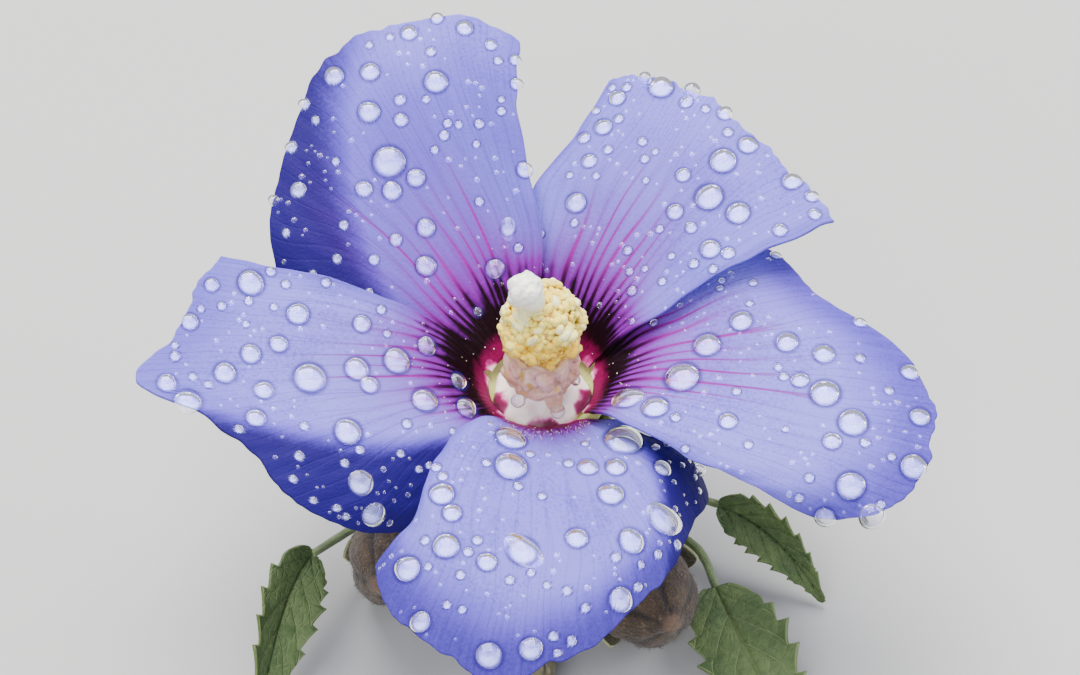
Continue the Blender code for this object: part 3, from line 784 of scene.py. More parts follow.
def column_foot_material():
    """White-pink flesh of the cone under the stamens, flushed magenta at its foot."""
    material, s, shader = new_material(
        "column_foot_flesh", 0.35, Subsurface_Weight=0.25, Subsurface_Scale=0.001, Coat_Weight=0.25)
    place = s.place()
    x, y, z = s.split(place)
    angle = s.math("ARCTAN2", y, x)
    reach = s.math("SQRT", s.line(x, x, s.times(y, y)))
    claws = s.math("COSINE", s.line(angle, 5.0, -5.0 * CLAW_BEARING))
    mottle = s.mottled(place, 0.5, FOOT_PINK, FOOT_WHITE)
    drop = s.less(RING_HEIGHT, z)
    edge = s.line(s.fade(claws, -1.0, 0.6), 1.5, reach)
    edge = s.line(s.noise(place, 0.7, 3.0), 1.4, edge)
    colour = s.mix(s.fade(edge, 6.3, 6.9), mottle["Colour"], CLAW_PINK)
    colour = s.mix(s.fade(edge, 6.7, 7.2), colour, CRIMSON)
    colour = s.mix(s.fade(edge, 7.2, 8.4), colour, MAROON)
    colour = s.mix(s.fade(drop, 1.1, 1.8), colour, FOOT_WALL)
    s.finish(shader, colour, s.noise(place, 1.6, 3.0), 0.15, 0.6)
    return material


def wet_flesh_material():
    """The drenched tube and filaments: pink-beige, half clear, with a film of water."""
    material, s, shader = new_material(
        "wet_filament_flesh", 0.3, Subsurface_Weight=0.3, Subsurface_Scale=0.001, Coat_Weight=0.35,
        Coat_Roughness=0.1)
    place = s.place()
    mottle = s.mottled(place, 0.45, FLESH_DARK, FLESH_LIGHT)
    _, _, z = s.split(place)
    gold = s.times(s.fade(z, 35.0, 38.0), 0.75)
    gold = s.math("MAXIMUM", gold, s.fade(s.noise(place, 0.6, 2.0), 0.56, 0.72))
    s.finish(shader, s.mix(gold, mottle["Colour"], FLESH_GOLD), mottle["Value"], 0.12, 0.5)
    return material


def anther_material():
    """Pale cream pollen sacs going to gold and ochre; the ochre is partly painted shade in the hollows of
    the mass, the palest cream partly painted light on its bulges.
    """
    material, s, shader = new_material("anther_cream", 0.5, Subsurface_Weight=0.2, Subsurface_Scale=0.0006)
    place = s.place()
    tint_and_shade = s.attribute("tint_and_shade")
    colour = s.mix(s.fade(tint_and_shade, 0.25, 0.75), POLLEN_CREAM, POLLEN_GOLD)
    colour = s.mix(s.fade(tint_and_shade, 0.75, 1.0), colour, POLLEN_OCHRE_SHADE)
    colour = s.mix(s.fade(tint_and_shade, 0.25, 0.0), colour, POLLEN_PALE_LIT)
    specks = s.fade(s.noise(place, 5.0, 2.0), 0.60, 0.70)
    colour = s.mix(s.times(specks, 0.4), colour, POLLEN_SPECK)
    down = s.felted(place, 7.0)
    s.finish(shader, colour, down["Height"], 0.10, 0.8)
    s.put(shader.inputs["Roughness"], s.line(specks, 0.2, 0.42))
    return material


def stigma_material():
    """Smooth creamy white, mottled greenish, and yellower towards its foot."""
    material, s, shader = new_material(
        "stigma_cream", 0.3, Subsurface_Weight=0.3, Subsurface_Scale=0.001, Coat_Weight=0.3)
    place = s.place()
    _, _, z = s.split(place)
    mottle = s.mottled(place, 0.4, STIGMA_GREEN, STIGMA_WHITE)
    colour = s.mix(s.fade(z, 48.2, 45.4), mottle["Colour"], STIGMA_FOOT)
    s.finish(shader, colour, s.noise(place, 3.0, 2.0), 0.06, 0.6)
    return material


def grain_material():
    """Loose pollen and hair ends, cream to brown."""
    material, s, shader = new_material("pollen_grains", 0.6)
    tint_and_shade = s.attribute("tint_and_shade")
    colour = s.mix(tint_and_shade, GRAIN_CREAM, GRAIN_BROWN)
    s.finish(shader, colour, s.noise(s.place(), 9.0, 2.0), 0.03, 0.6)
    return material


def green_material(name, dark, light, ribs):
    """Downy green of the calyx, bracts and stalks."""
    material, s, shader = new_material(name, 0.6, Sheen_Weight=0.4, Sheen_Roughness=0.5)
    place = s.place()
    across, along = s.blade()
    mottle = s.mottled(place, 0.35, dark, light)
    stripe = s.math("ABSOLUTE", s.math("SINE", s.times(across, math.pi * ribs)))
    stripe = s.fade(stripe, 0.25, 0.0)
    colour = s.mix(s.times(stripe, 0.45), mottle["Colour"], GREEN_RIB)
    down = s.felted(place, 3.2)
    height = s.line(stripe, 0.8, down["Height"])
    s.finish(shader, colour, height, 0.14, 0.8)
    s.put(shader.inputs["Roughness"], s.line(down["Height"], 0.2, 0.55))
    return material


def bark_material():
    """Grey-brown bark with long cracks, pale breathing pores and a green cast."""
    material, s, shader = new_material("twig_bark", 0.75)
    place = s.place()
    x, y, z = s.split(place)
    long_way = s.join(x, s.times(y, 0.16), z)
    cracks = s.noise(long_way, 1.8, 5.0, 0.65)
    mottle = s.mottled(place, 0.30, BARK_DARK, BARK_LIGHT)
    colour = s.mix(s.fade(cracks, 0.50, 0.38), mottle["Colour"], BARK_CRACK)
    green = s.times(s.fade(s.noise(place, 0.12, 2.0), 0.45, 0.62), 0.35)
    colour = s.mix(green, colour, BARK_GREEN)
    colour = s.mix(s.attribute("pore"), colour, BARK_PORE)
    s.finish(shader, colour, cracks, 0.35, 0.8)
    s.put(shader.inputs["Roughness"], s.line(mottle["Value"], 0.15, 0.65))
    return material


def cut_wood_material():
    """The pale face of a cut twig: pith, wood with rays, and a green rind."""
    material, s, shader = new_material("cut_wood", 0.6)
    place = s.place()
    out = s.attribute("out")
    turn = s.attribute("turn")
    rays = s.noise(s.join(s.times(turn, 60.0), s.times(out, 2.0)), 1.0, 2.0)
    wood = s.mix(rays, WOOD_DARK, WOOD_LIGHT)
    rings = s.math("SINE", s.times(out, 34.0))
    wood = s.mix(s.times(s.fade(rings, 0.4, 1.0), 0.3), wood, WOOD_RING)
    colour = s.mix(s.fade(out, 0.24, 0.17), wood, WOOD_PITH)
    colour = s.mix(s.fade(out, 0.80, 0.88), colour, WOOD_RIND)
    colour = s.mix(s.fade(out, 0.92, 0.97), colour, WOOD_EDGE)
    s.finish(shader, colour, s.math("ADD", rays, s.noise(place, 8.0, 2.0)), 0.06, 0.7)
    return material


def capsule_material():
    """Dark brown felted husk with a slightly paler beak and dark seams between the valves."""
    material, s, shader = new_material("capsule_husk", 0.8, Sheen_Weight=0.15, Sheen_Roughness=0.6)
    place = s.place()
    mottle = s.mottled(place, 0.4, HUSK_DARK, HUSK_LIGHT)
    down = s.felted(place, 3.0)
    colour = s.mix(s.fade(down["Height"], 0.30, 0.55), mottle["Colour"], HUSK_FELT)
    colour = s.mix(s.attribute("seam"), colour, HUSK_SEAM)
    colour = s.mix(s.attribute("beak"), colour, HUSK_BEAK)
    s.finish(shader, colour, down["Height"], 0.25, 0.9)
    return material


def hair_material(name, colour, tip):
    """Short plant hairs."""
    material, s, shader = new_material(name, 0.6, Sheen_Weight=0.3)
    light = s.fade(s.noise(s.place(), 0.8, 2.0), 0.35, 0.65)
    s.put(shader.inputs["Base Color"], s.mix(light, colour, tip))
    return material


def leaf_material(name, dark, light, vein, shine):
    """A leaf face with its midrib, side veins, net of small veins and pale rim."""
    material, s, shader = new_material(name, 0.4, Specular_IOR_Level=0.25)
    across, along = s.blade()
    place = s.place()
    side = s.math("ABSOLUTE", across)
    mottle = s.mottled(place, 0.25, dark, light)
    lean = s.line(side, -0.30, along)
    rank = s.times(lean, float(LEAF_SIDE_VEINS))
    gap = s.math("ABSOLUTE", s.less(rank, s.math("ROUND", rank)))
    lines = s.math("MAXIMUM", s.fade(gap, 0.07, 0.0), s.fade(side, 0.07, 0.0))
    net = s.node("ShaderNodeTexVoronoi", feature="DISTANCE_TO_EDGE")
    s.put(net.inputs["Vector"], place)
    s.put(net.inputs["Scale"], 0.9)
    net = s.fade(net.outputs["Distance"], 0.10, 0.0)
    colour = s.mix(s.times(net, 0.12), mottle["Colour"], vein)
    colour = s.mix(s.times(lines, 0.5), colour, vein)
    colour = s.mix(s.times(s.fade(side, 0.93, 1.0), 0.6), colour, vein)
    height = s.line(net, -0.4, s.times(lines, -0.8))
    height = s.line(s.noise(place, 1.5, 3.0), 0.5, height)
    s.finish(shader, colour, height, 0.22, 0.8)
    s.put(shader.inputs["Roughness"], s.line(mottle["Value"], 0.15, shine))
    return material


FAN_VEINS = fan_veins_group()
MOTTLE = mottle_group()
DOWN = down_group()


# Meshes.

def new_piece(name, bm, materials, slot, *nodes):
    """A finished bmesh as a piece of the object that may stand for nodes of the frame."""
    for vert in bm.verts:
        vert.co.z = max(vert.co.z, FLOOR_GAP * MM)
    mesh = bpy.data.meshes.new(name)
    bm.to_mesh(mesh)
    bm.free()
    mesh.shade_smooth()
    for material in materials:
        mesh.materials.append(material)
    piece = bpy.data.objects.new(name, mesh)
    bpy.context.scene.collection.objects.link(piece)
    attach(piece, BODY)
    if nodes:
        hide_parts(*nodes)
    return piece


def face_out(bm):
    """Turns every face outwards on a closed shape."""
    bmesh.ops.recalc_face_normals(bm, faces=bm.faces[:])
    if bm.calc_volume(signed=True) < 0.0:
        bmesh.ops.reverse_faces(bm, faces=bm.faces[:])


def mapped_grid(cells, side=1.0, layers=()):
    """A grid with a blade map, and each vertex's place on it, from 0 to 1 both ways."""
    bm = bmesh.new()
    bmesh.ops.create_grid(bm, x_segments=cells[0], y_segments=cells[1], size=1.0)
    blade = bm.loops.layers.uv.new("blade")
    for layer in layers:
        bm.verts.layers.float.new(layer)
    spots = {v: (0.5 * (side * v.co.x + 1.0), 0.5 * (v.co.y + 1.0)) for v in bm.verts}
    for face in bm.faces:
        for loop in face.loops:
            loop[blade].uv = spots[loop.vert]
    return bm, spots


def sheet_mesh(cells, point_at):
    """A mapped grid placed by point_at(across, along) in metres, across from -1 to 1."""
    bm, spots = mapped_grid(cells, -1.0)
    for vert, (share, along) in spots.items():
        spots[vert] = (2.0 * share - 1.0, along)
        vert.co = point_at(*spots[vert])
    return bm, spots


def add_skin(piece, thickness, under=0):
    """Thickness below a sheet; under is how many slots on the underside's material is."""
    solid = piece.modifiers.new("thickness", "SOLIDIFY")
    solid.thickness = thickness * MM
    solid.offset = -1.0
    solid.material_offset = under


def lengthened(route, before, after):
    """A route drawn out past its ends, so that a stalk is rooted in what it joins."""
    first, second = Vector(route[0][:3]), Vector(route[1][:3])
    last, previous = Vector(route[-1][:3]), Vector(route[-2][:3])
    start = first + (first - second).normalized() * before
    end = last + (last - previous).normalized() * after
    return ((*start, route[0][3]), *route[1:-1], (*end, route[-1][3]))


def tube_mesh(route, sides, steps, relief=None, upright=Vector((0.0, 0.0, 1.0))):
    """A limb along a smooth route of (x, y, z, radius), closed flat at both ends.

    relief(turn, along) gives what is added to the radius. The ends' faces use slot 1.
    """
    bm, spots = mapped_grid((sides, steps), layers=("out", "turn", "along"))
    out, turned, gone = [bm.verts.layers.float[k] for k in ("out", "turn", "along")]
    rings = {}
    for vert, (turn, along) in spots.items():
        if along not in rings:
            here = spline_point(route, along)
            ahead = Vector(spline_point(route, min(along + 0.005, 1.0))[:3])
            behind = Vector(spline_point(route, max(along - 0.005, 0.0))[:3])
            tangent = (ahead - behind).normalized()
            side = tangent.cross(upright).normalized()
            rings[along] = (Vector(here[:3]), side, side.cross(tangent), here[3])
        centre, side, up, radius = rings[along]
        angle = 2.0 * math.pi * turn
        if relief:
            radius += relief(turn, along)
        vert.co = (centre + (side * math.cos(angle) + up * math.sin(angle)) * radius) * MM
        vert[out] = 1.0
        vert[turned] = turn
        vert[gone] = along
    bmesh.ops.remove_doubles(bm, verts=bm.verts[:], dist=0.001 * MM)
    painted_rim_shades = [e for e in bm.edges if e.is_boundary]
    caps = bmesh.ops.holes_fill(bm, edges=painted_rim_shades, sides=0)["faces"]
    for face in caps:
        face.material_index = 1
    inner = bmesh.ops.poke(bm, faces=caps)
    for vert in inner["verts"]:
        vert[out] = 0.0
    for face in inner["faces"]:
        face.material_index = 1
    face_out(bm)
    return bm


def join_mesh(target, source):
    """Adds a bmesh to another, with its layers, and frees it."""
    mesh = bpy.data.meshes.new("joining")
    source.to_mesh(mesh)
    source.free()
    target.from_mesh(mesh)
    bpy.data.meshes.remove(mesh)


class Heap:
    """Many small shapes in one mesh, gathered a few at a time, which keeps them quick."""

    BATCH = 6

    def __init__(self, *layers):
        self.layers = layers
        self.count = 0
        self.batches = []
        self.part = self.fresh()

    def fresh(self):
        bm = bmesh.new()
        for layer in self.layers:
            bm.verts.layers.float.new(layer)
        return bm

    def put_by(self):
        mesh = bpy.data.meshes.new("batch")
        self.part.to_mesh(mesh)
        self.part.free()
        self.batches.append(mesh)
        self.part = self.fresh()
        self.count = 0

    def next(self):
        """The bmesh that takes the next shape."""
        if self.count == self.BATCH:
            self.put_by()
        self.count += 1
        return self.part

    def mark(self, verts, layer, value):
        key = self.part.verts.layers.float[layer]
        for vert in verts:
            vert[key] = value

    def whole(self):
        self.put_by()
        bm = self.fresh()
        for mesh in self.batches:
            bm.from_mesh(mesh)
            bpy.data.meshes.remove(mesh)
        return bm


def turned_mesh(profile, sides, relief=None):
    """A closed solid of revolution about Z from (radius, height), listed from the foot up."""
    bm = bmesh.new()
    fine = [spline_point(profile, i / PROFILE_STEPS) for i in range(PROFILE_STEPS + 1)]
    points = [(0.0, profile[0][1]), *fine, (0.0, profile[-1][1])]
    verts = [bm.verts.new(Vector((r, 0.0, h)) * MM) for r, h in points]
    edges = [bm.edges.new(pair) for pair in zip(verts, verts[1:])]
    bmesh.ops.spin(
        bm, geom=verts + edges, cent=(0.0, 0.0, 0.0), axis=(0.0, 0.0, 1.0), dvec=(0.0, 0.0, 0.0),
        angle=2.0 * math.pi, steps=sides, use_merge=True)
    bmesh.ops.remove_doubles(bm, verts=bm.verts[:], dist=0.005 * MM)
    if relief:
        for vert in bm.verts:
            reach = Vector((vert.co.x, vert.co.y)).length
            if reach > 0.05 * MM:
                angle = math.atan2(vert.co.y, vert.co.x)
                vert.co.xy *= 1.0 + relief(angle, vert.co.z / MM) * MM / reach
    face_out(bm)
    return bm


# Petals.

def make_petals():
    """The five petals, each with a blade map and its own vein phase and reach."""
    surfaces = {}
    face = petal_face_material()
    back = petal_back_material()
    for name, petal in PETALS.items():
        def place(across, along, petal=petal):
            return petal_skin(petal, across, along)
        bm, spots = sheet_mesh((PETAL_CELLS, PETAL_CELLS), place)
        spots = list(spots.values())
        phase, reach, eye, tone_and_painted_shade, _, _ = [
            bm.verts.layers.float.new(k) for k in ("phase", "vein_reach", "eye", "tone_and_painted_shade", "glow", "painted_rim_shade")]
        for vert, (across, along) in zip(bm.verts, spots):
            vert[phase] = petal["azimuth"]
            vert[reach] = vein_reach(petal, across)
            vert[eye] = petal["eye"] + petal["eye_lean"] * across
            # The depth of painted shade and tone at each vertex.
            vert[tone_and_painted_shade] = petal_tone_and_painted_shade(petal, across, along)
        bm.normal_update()
        tree = BVHTree.FromBMesh(bm)
        piece = new_piece(f"{name}_satin", bm, [face, back], "petal", name)
        add_skin(piece, PETAL_SKIN, 1)
        surfaces[name] = (tree, piece)
    return surfaces


# Raindrops.

def camera_axes():
    rise = math.radians(VIEW_ELEVATION)
    back = Vector((0.0, -math.cos(rise), math.sin(rise)))
    up = Vector((0.0, math.sin(rise), math.cos(rise)))
    return Vector((1.0, 0.0, 0.0)), up, back


def picture_ray(x, y):
    """The camera's place and the way to a point of the picture."""
    right, up, back = camera_axes()
    way = right * (x - 0.5 * PICTURE[0]) - up * (y - 0.5 * PICTURE[1]) - back * FOCAL_PIXELS
    return (VIEW_CENTRE + back * VIEW_DISTANCE) * MM, way.normalized()


def petal_under(surfaces, x, y):
    """The petal seen at a point of the picture: name, point and normal, or None."""
    origin, way = picture_ray(x, y)
    best = None
    for name, (tree, _) in surfaces.items():
        point, normal, _, distance = tree.ray_cast(origin, way)
        if point is not None and (best is None or distance < best[0]):
            best = (distance, name, point, normal)
    return best[1:] if best else None


def petal_beside(surfaces, x, y):
    """The nearest margin to a point of the picture off the petals."""
    origin, way = picture_ray(x, y)
    best = None
    for step in range(60):
        spot = origin + way * (300.0 + 1.6 * step) * MM
        for name, (tree, _) in surfaces.items():
            point, normal, _, distance = tree.find_nearest(spot)
            if best is None or distance < best[0]:
                best = (distance, name, point, normal, spot)
    return best[1:]


def add_drop(heap, centre, normal, width, length, rise, sides, rings, rng, hang=False):
    """One drop on a surface: a dome that leans downhill, closed by a flat sunk foot."""
    downhill = Vector((0.0, 0.0, -1.0))
    slide = downhill - normal * downhill.dot(normal)
    slide = slide.normalized() if slide.length > 0.05 else Vector((0.0, -1.0, 0.0))
    slide = (slide - normal * slide.dot(normal)).normalized()
    side = normal.cross(slide)
    made = bmesh.ops.create_uvsphere(heap.next(), u_segments=sides, v_segments=rings, radius=1.0)
    first = rng.uniform(0.0, 2.0 * math.pi)
    second = rng.uniform(0.0, 2.0 * math.pi)
    for vert in made["verts"]:
        x, y, z = vert.co
        angle = math.atan2(y, x)
        wobble = 1.0 + 0.035 * math.sin(2.0 * angle + first) + 0.025 * math.sin(3.0 * angle + second)
        lean = 1.0 + 0.18 * y
        if not hang:
            z = z ** 1.6 if z > 0.0 else z * 0.10
        drop = side * x * 0.5 * width * wobble + slide * y * 0.5 * length * wobble
        vert.co = centre + (drop + normal * z * rise * lean) * MM


def lamp_side(normal):
    """The way across a surface to the side of a drop away from the lamp."""
    return (Vector((0.0, -1.0, 0.0)) - normal * -normal.y).normalized()


def mark_glow(surfaces, marks):
    """Painted light that each drop gathers on the petal under it, bright on the side away from the lamp,
    and a painted contact shadow round each drop.
    """
    for name, (_, piece) in surfaces.items():
        here = [m for m in marks if m[0] == name]
        mesh = piece.data
        glows = [0.0] * len(mesh.vertices)
        painted_rim_shades = [0.0] * len(mesh.vertices)
        cell = 3.0 * MM
        near = {}
        for mark in here:
            key = (round(mark[1].x / cell), round(mark[1].y / cell))
            for i in (-1, 0, 1):
                for j in (-1, 0, 1):
                    near.setdefault((key[0] + i, key[1] + j), []).append(mark)
        for vert in mesh.vertices:
            key = (round(vert.co.x / cell), round(vert.co.y / cell))
            for _, centre, width, away in near.get(key, ()):
                offset = (vert.co - centre) / (0.5 * width * MM)
                out = offset.length
                if out > 1.4:
                    continue
                low = offset.dot(away) / max(out, 0.2)
                bright = (0.30 + 0.70 * ease(0.5 + 0.5 * low)) * ease((0.92 - out) / 0.25)
                glows[vert.index] = max(glows[vert.index], bright)
                # The painted contact shadow along the drop's edge.
                ring = math.exp(-((out - 1.02) / 0.16) ** 2)
                painted_rim_shades[vert.index] = max(painted_rim_shades[vert.index], ring)
        mesh.attributes["glow"].data.foreach_set("value", glows)
        mesh.attributes["painted_rim_shade"].data.foreach_set("value", painted_rim_shades)


def make_drops(surfaces):
    """Rain on the petals: the large drops seen in the photograph, then many small ones."""
    rng = random.Random(7)
    water = water_material()
    marks = []
    taken = []
    large = Heap()
    drops = [(x, y, w, w) for x, y, w in LARGE_DROPS] + list(RUNNING_DROPS)
    for x, y, width, length in drops:
        hit = petal_under(surfaces, x, y)
        if hit:
            name, point, normal = hit
            rise = (DROP_DOME - DROP_FLATTENING * width) * width
            add_drop(large, point, normal, width, length, rise, 24, 12, rng)
            marks.append((name, point, width, lamp_side(normal)))
            taken.append((point, 0.5 * width))
        else:
            name, point, normal, spot = petal_beside(surfaces, x, y)
            centre = point.lerp(spot, 0.6)
            add_drop(large, centre, normal, width, length, 0.5 * width, 24, 14, rng, hang=True)
    new_piece("large_raindrops", large.whole(), [water], "water")
    small = Heap()
    low, high = SMALL_DROP_WIDTHS
    for name, (tree, _) in surfaces.items():
        petal = PETALS[name]
        count = 0
        while count < SMALL_DROPS_EACH_PETAL:
            across = rng.uniform(-0.97, 0.97)
            along = 0.12 + 0.86 * rng.random() ** 0.6
            crowd = waver(across * 2.5, along * 3.0, petal["azimuth"])
            if rng.random() > 0.55 + 0.9 * crowd:
                continue
            width = low + (high - low) * rng.random() ** 2.2
            spot = petal_skin(petal, across, along)
            point, normal, _, _ = tree.find_nearest(spot)
            if any((point - other).length < (0.6 * width + half) * MM for other, half in taken):
                continue
            taken.append((point, 0.5 * width))
            add_drop(small, point, normal, width, width, DROP_DOME * width, 10, 6, rng)
            if width > SMALL_GLOW_WIDTH:
                marks.append((name, point, width, lamp_side(normal)))
            count += 1
    new_piece("small_raindrops", small.whole(), [water], "water")
    mark_glow(surfaces, marks)
    return water


# The column of stamens.

def column_frame():
    """Turns and lifts a shape from the column's own axis into place."""
    nod = Matrix.Rotation(math.radians(COLUMN_NOD), 4, "X")
    return Matrix.Translation(Vector((0.0, 0.0, RING_HEIGHT)) * MM) @ nod


def profile_radius(profile, height):
    """The radius of a turned profile at a height."""
    for (lower, low), (upper, high) in zip(profile, profile[1:]):
        if height <= high:
            return lower + (upper - lower) * max(height - low, 0.0) / (high - low)
    return profile[-1][0]


def make_column(water):
    """The foot, tube, filaments, pollen sacs, stigma and waterdrops of the column."""
    rng = random.Random(11)
    stand = column_frame()

    def foot_relief(angle, height):
        ribs = 0.35 * math.cos(5.0 * angle + 0.6) * ease((height + 5.0) / 4.0) * ease((3.0 - height) / 3.0)
        return ribs + 0.12 * waver(angle * 2.0, height, 0.0)
    foot = turned_mesh(FOOT_PROFILE, 72, foot_relief)
    bmesh.ops.translate(foot, verts=foot.verts[:], vec=Vector((0.0, 0.0, RING_HEIGHT)) * MM)
    new_piece("column_foot_flesh", foot, [column_foot_material()], "column", "column_foot")

    def core_relief(angle, height):
        spot = Vector((math.cos(angle) * 2.0, math.sin(angle) * 2.0, height * 0.7))
        wet = ease((height - 2.6) / 1.6) * ease((10.5 - height) / 1.5)
        return 0.75 * wet - 0.9 * ease((height - 9.5) / 1.5) + 0.75 * wet * noise.noise(spot * 1.4)
    core = turned_mesh(COLUMN_PROFILE, 56, core_relief)
    core.transform(stand)
    wet = wet_flesh_material()
    new_piece("stamen_tube", core, [wet], "column", "stamen_column")

    lining = turned_mesh(LINING_PROFILE, 72)
    bmesh.ops.translate(lining, verts=lining.verts[:], vec=Vector((0.0, 0.0, RING_HEIGHT)) * MM)
    yellow_green = green_material("claw_lining", LINING_DARK, LINING_LIGHT, 12.0)
    new_piece("calyx_lining", lining, [yellow_green], "calyx")

    lobes = bmesh.new()
    for bearing, out, height, girth, length in DROOPING_LOBES:
        turn = math.radians(bearing)
        size = Vector((girth * 0.9, girth, length))
        spot = Vector((out * math.cos(turn), out * math.sin(turn), height))
        tilt = Matrix.Rotation(turn, 4, "Z") @ Matrix.Rotation(math.radians(rng.uniform(-22, -4)), 4, "Y")
        place = stand @ Matrix.Translation(spot * MM) @ tilt
        made = bmesh.ops.create_icosphere(lobes, subdivisions=4, radius=1.0)
        for vert in made["verts"]:
            x, y, z = vert.co
            swell = 1.0 + 0.30 * noise.noise(vert.co * 1.1 + spot)
            swell += 0.10 * noise.noise(vert.co * 3.0 + spot)
            taper = 1.0 - 0.25 * z
            vert.co = place @ (Vector((x * size.x * taper, y * size.y * taper, z * size.z)) * (swell * MM))
    new_piece("drenched_filaments", lobes, [wet], "column")

    anthers = Heap("tint_and_shade")
    golden = math.pi * (3.0 - math.sqrt(5.0))
    for i in range(ANTHERS):
        along = (i + 0.5) / ANTHERS
        height = ANTHERS_FOOT + ANTHERS_RISE * along
        radius = profile_radius(COLUMN_PROFILE, height)
        turn = i * golden
        lump = waver(math.cos(turn) * 2.3, math.sin(turn) * 2.3, height * 0.65)
        shoulder = math.exp(-((turn % (2.0 * math.pi) - 0.5) / 0.8) ** 2 - ((height - 15.0) / 2.0) ** 2)
        out = max(radius + rng.uniform(-0.80, -0.30) + 1.1 * lump + 0.5 * shoulder, 0.3)
        spot = Vector((out * math.cos(turn), out * math.sin(turn), height + rng.uniform(-0.3, 0.3)))
        size = rng.uniform(*ANTHER_SIZES) * (1.0 + 0.35 * lump)
        swing = Matrix.Rotation(turn, 4, "Z") @ Matrix.Rotation(rng.uniform(-1.4, 1.4), 4, "X")
        swing = swing @ Matrix.Rotation(rng.uniform(-0.7, 0.7), 4, "Y")
        place = stand @ Matrix.Translation(spot * MM) @ swing @ Matrix.Scale(size * MM, 4)
        bm = anthers.next()
        tint_and_shade = bm.verts.layers.float["tint_and_shade"]
        made = bmesh.ops.create_icosphere(bm, subdivisions=2, radius=1.0)
        # Each sac's colour, from pale to ochre: random, more golden low on the front of the mass, painted
        # shade where the mass sinks in and painted light where it bulges.
        front = ease(0.55 - math.sin(turn) - 0.35 * abs(math.cos(turn))) * ease((15.4 - height) / 2.5)
        tone_and_painted_shade = rng.uniform(0.0, 0.26) + front * (0.50 + 0.45 * ease((11.8 - height) / 1.6)) - 0.3 * lump
        seed = rng.uniform(0.0, 50.0)
        for vert in made["verts"]:
            x, y, z = vert.co
            cleft = 1.0 - 0.30 * math.exp(-(y / 0.25) ** 2) * max(x, 0.0)
            cleft += 0.28 * waver(x * 1.5 + seed, y * 1.5, z * 1.5)
            vert.co = place @ Vector((0.85 * x * cleft - 0.22 * y * y, 1.2 * y * cleft, 0.85 * z * cleft))
            # Painted shade on the inward side of each sac.
            vert[tint_and_shade] = min(max(tone_and_painted_shade + 0.16 * (1.0 - x), 0.0), 1.0)
    new_piece("anthers", anthers.whole(), [anther_material()], "column")

    knob = bmesh.new()
    bmesh.ops.create_icosphere(knob, subdivisions=5, radius=1.0)
    bulges = [
        (Vector((0.62, -0.55, -0.62)), 0.50, 0.55), (Vector((-0.75, -0.5, -0.30)), 0.20, 0.50),
        (Vector((0.3, 0.8, 0.1)), 0.14, 0.5)]
    for i in range(STIGMA_LOBES):
        turn = 2.0 * math.pi * (i + 0.2) / STIGMA_LOBES
        bulges.append((Vector((math.cos(turn), math.sin(turn), 0.55)), 0.20, 0.42))
    for vert in knob.verts:
        way = vert.co.normalized()
        swell = 0.74
        for aim, amount, spread in bulges:
            swell += amount * math.exp(-((way - aim.normalized()).length / spread) ** 2)
        swell += 0.10 * noise.noise(way * 2.6) + 0.05 * noise.noise(way * 6.5)
        x, y, z = [c * size * swell for c, size in zip(way, STIGMA_RADII)]
        narrow = 1.0 - STIGMA_TAPER * z
        x *= narrow
        y *= narrow
        vert.co = stand @ (Vector((x + STIGMA_SHIFT, y, z + STIGMA_HEIGHT)) * MM)
    style = bmesh.ops.create_icosphere(knob, subdivisions=4, radius=1.0)
    for vert in style["verts"]:
        x, y, z = vert.co
        swell = 1.0 + 0.15 * noise.noise(vert.co * 2.0)
        vert.co = stand @ (Vector((1.6 * x * swell - 1.2, 1.6 * y * swell, 1.9 * z + 17.0)) * MM)
    new_piece("stigma_knob", knob, [stigma_material()], "column", "stigma")

    beads = bmesh.new()
    for x, y, z, size, stretch in COLUMN_WATERDROPS:
        place = Matrix.Translation(Vector((x, y, z)) * MM) @ Matrix.Diagonal(
            (size * MM, size * MM, size * stretch * MM, 1.0))
        bmesh.ops.create_uvsphere(beads, u_segments=24, v_segments=16, radius=1.0, matrix=place)
    new_piece("column_waterdrops", beads, [water], "water")


def make_grains(surfaces):
    """Pollen scattered over the eye and hairs along the front petal's lip."""
    rng = random.Random(5)
    grains = Heap("tint_and_shade")
    for name, (tree, _) in surfaces.items():
        petal = PETALS[name]
        for _ in range(GRAINS_EACH_PETAL):
            across = rng.uniform(-0.9, 0.9)
            along = rng.uniform(0.02, 0.24)
            point, normal, _, _ = tree.find_nearest(petal_skin(petal, across, along))
            size = rng.uniform(0.035, 0.085) * MM
            place = Matrix.Translation(point + normal * size * 0.7) @ Matrix.Scale(size, 4)
            made = bmesh.ops.create_icosphere(grains.next(), subdivisions=1, radius=1.0, matrix=place)
            grains.mark(made["verts"], "tint_and_shade", rng.random() ** 3)
    tree = surfaces["petal_front"][0]
    for _ in range(LIP_HAIRS):
        across = rng.uniform(-0.75, 0.85)
        along = rng.uniform(0.07, 0.14)
        point, normal, _, _ = tree.find_nearest(petal_skin(PETALS["petal_front"], across, along))
        way = (normal + Vector((rng.uniform(-1, 1), rng.uniform(-1, 1), rng.uniform(-0.3, 1))) * 0.6)
        turn = Vector((0.0, 0.0, 1.0)).rotation_difference(way).to_matrix().to_4x4()
        place = Matrix.Translation(point) @ turn @ Matrix.Diagonal(
            (0.04 * MM, 0.04 * MM, rng.uniform(0.15, 0.35) * MM, 1.0))
        made = bmesh.ops.create_icosphere(grains.next(), subdivisions=1, radius=1.0, matrix=place)
        grains.mark(made["verts"], "tint_and_shade", rng.uniform(0.2, 1.0))
    new_piece("pollen_and_lip_hairs", grains.whole(), [grain_material()], "column")


# Green parts.

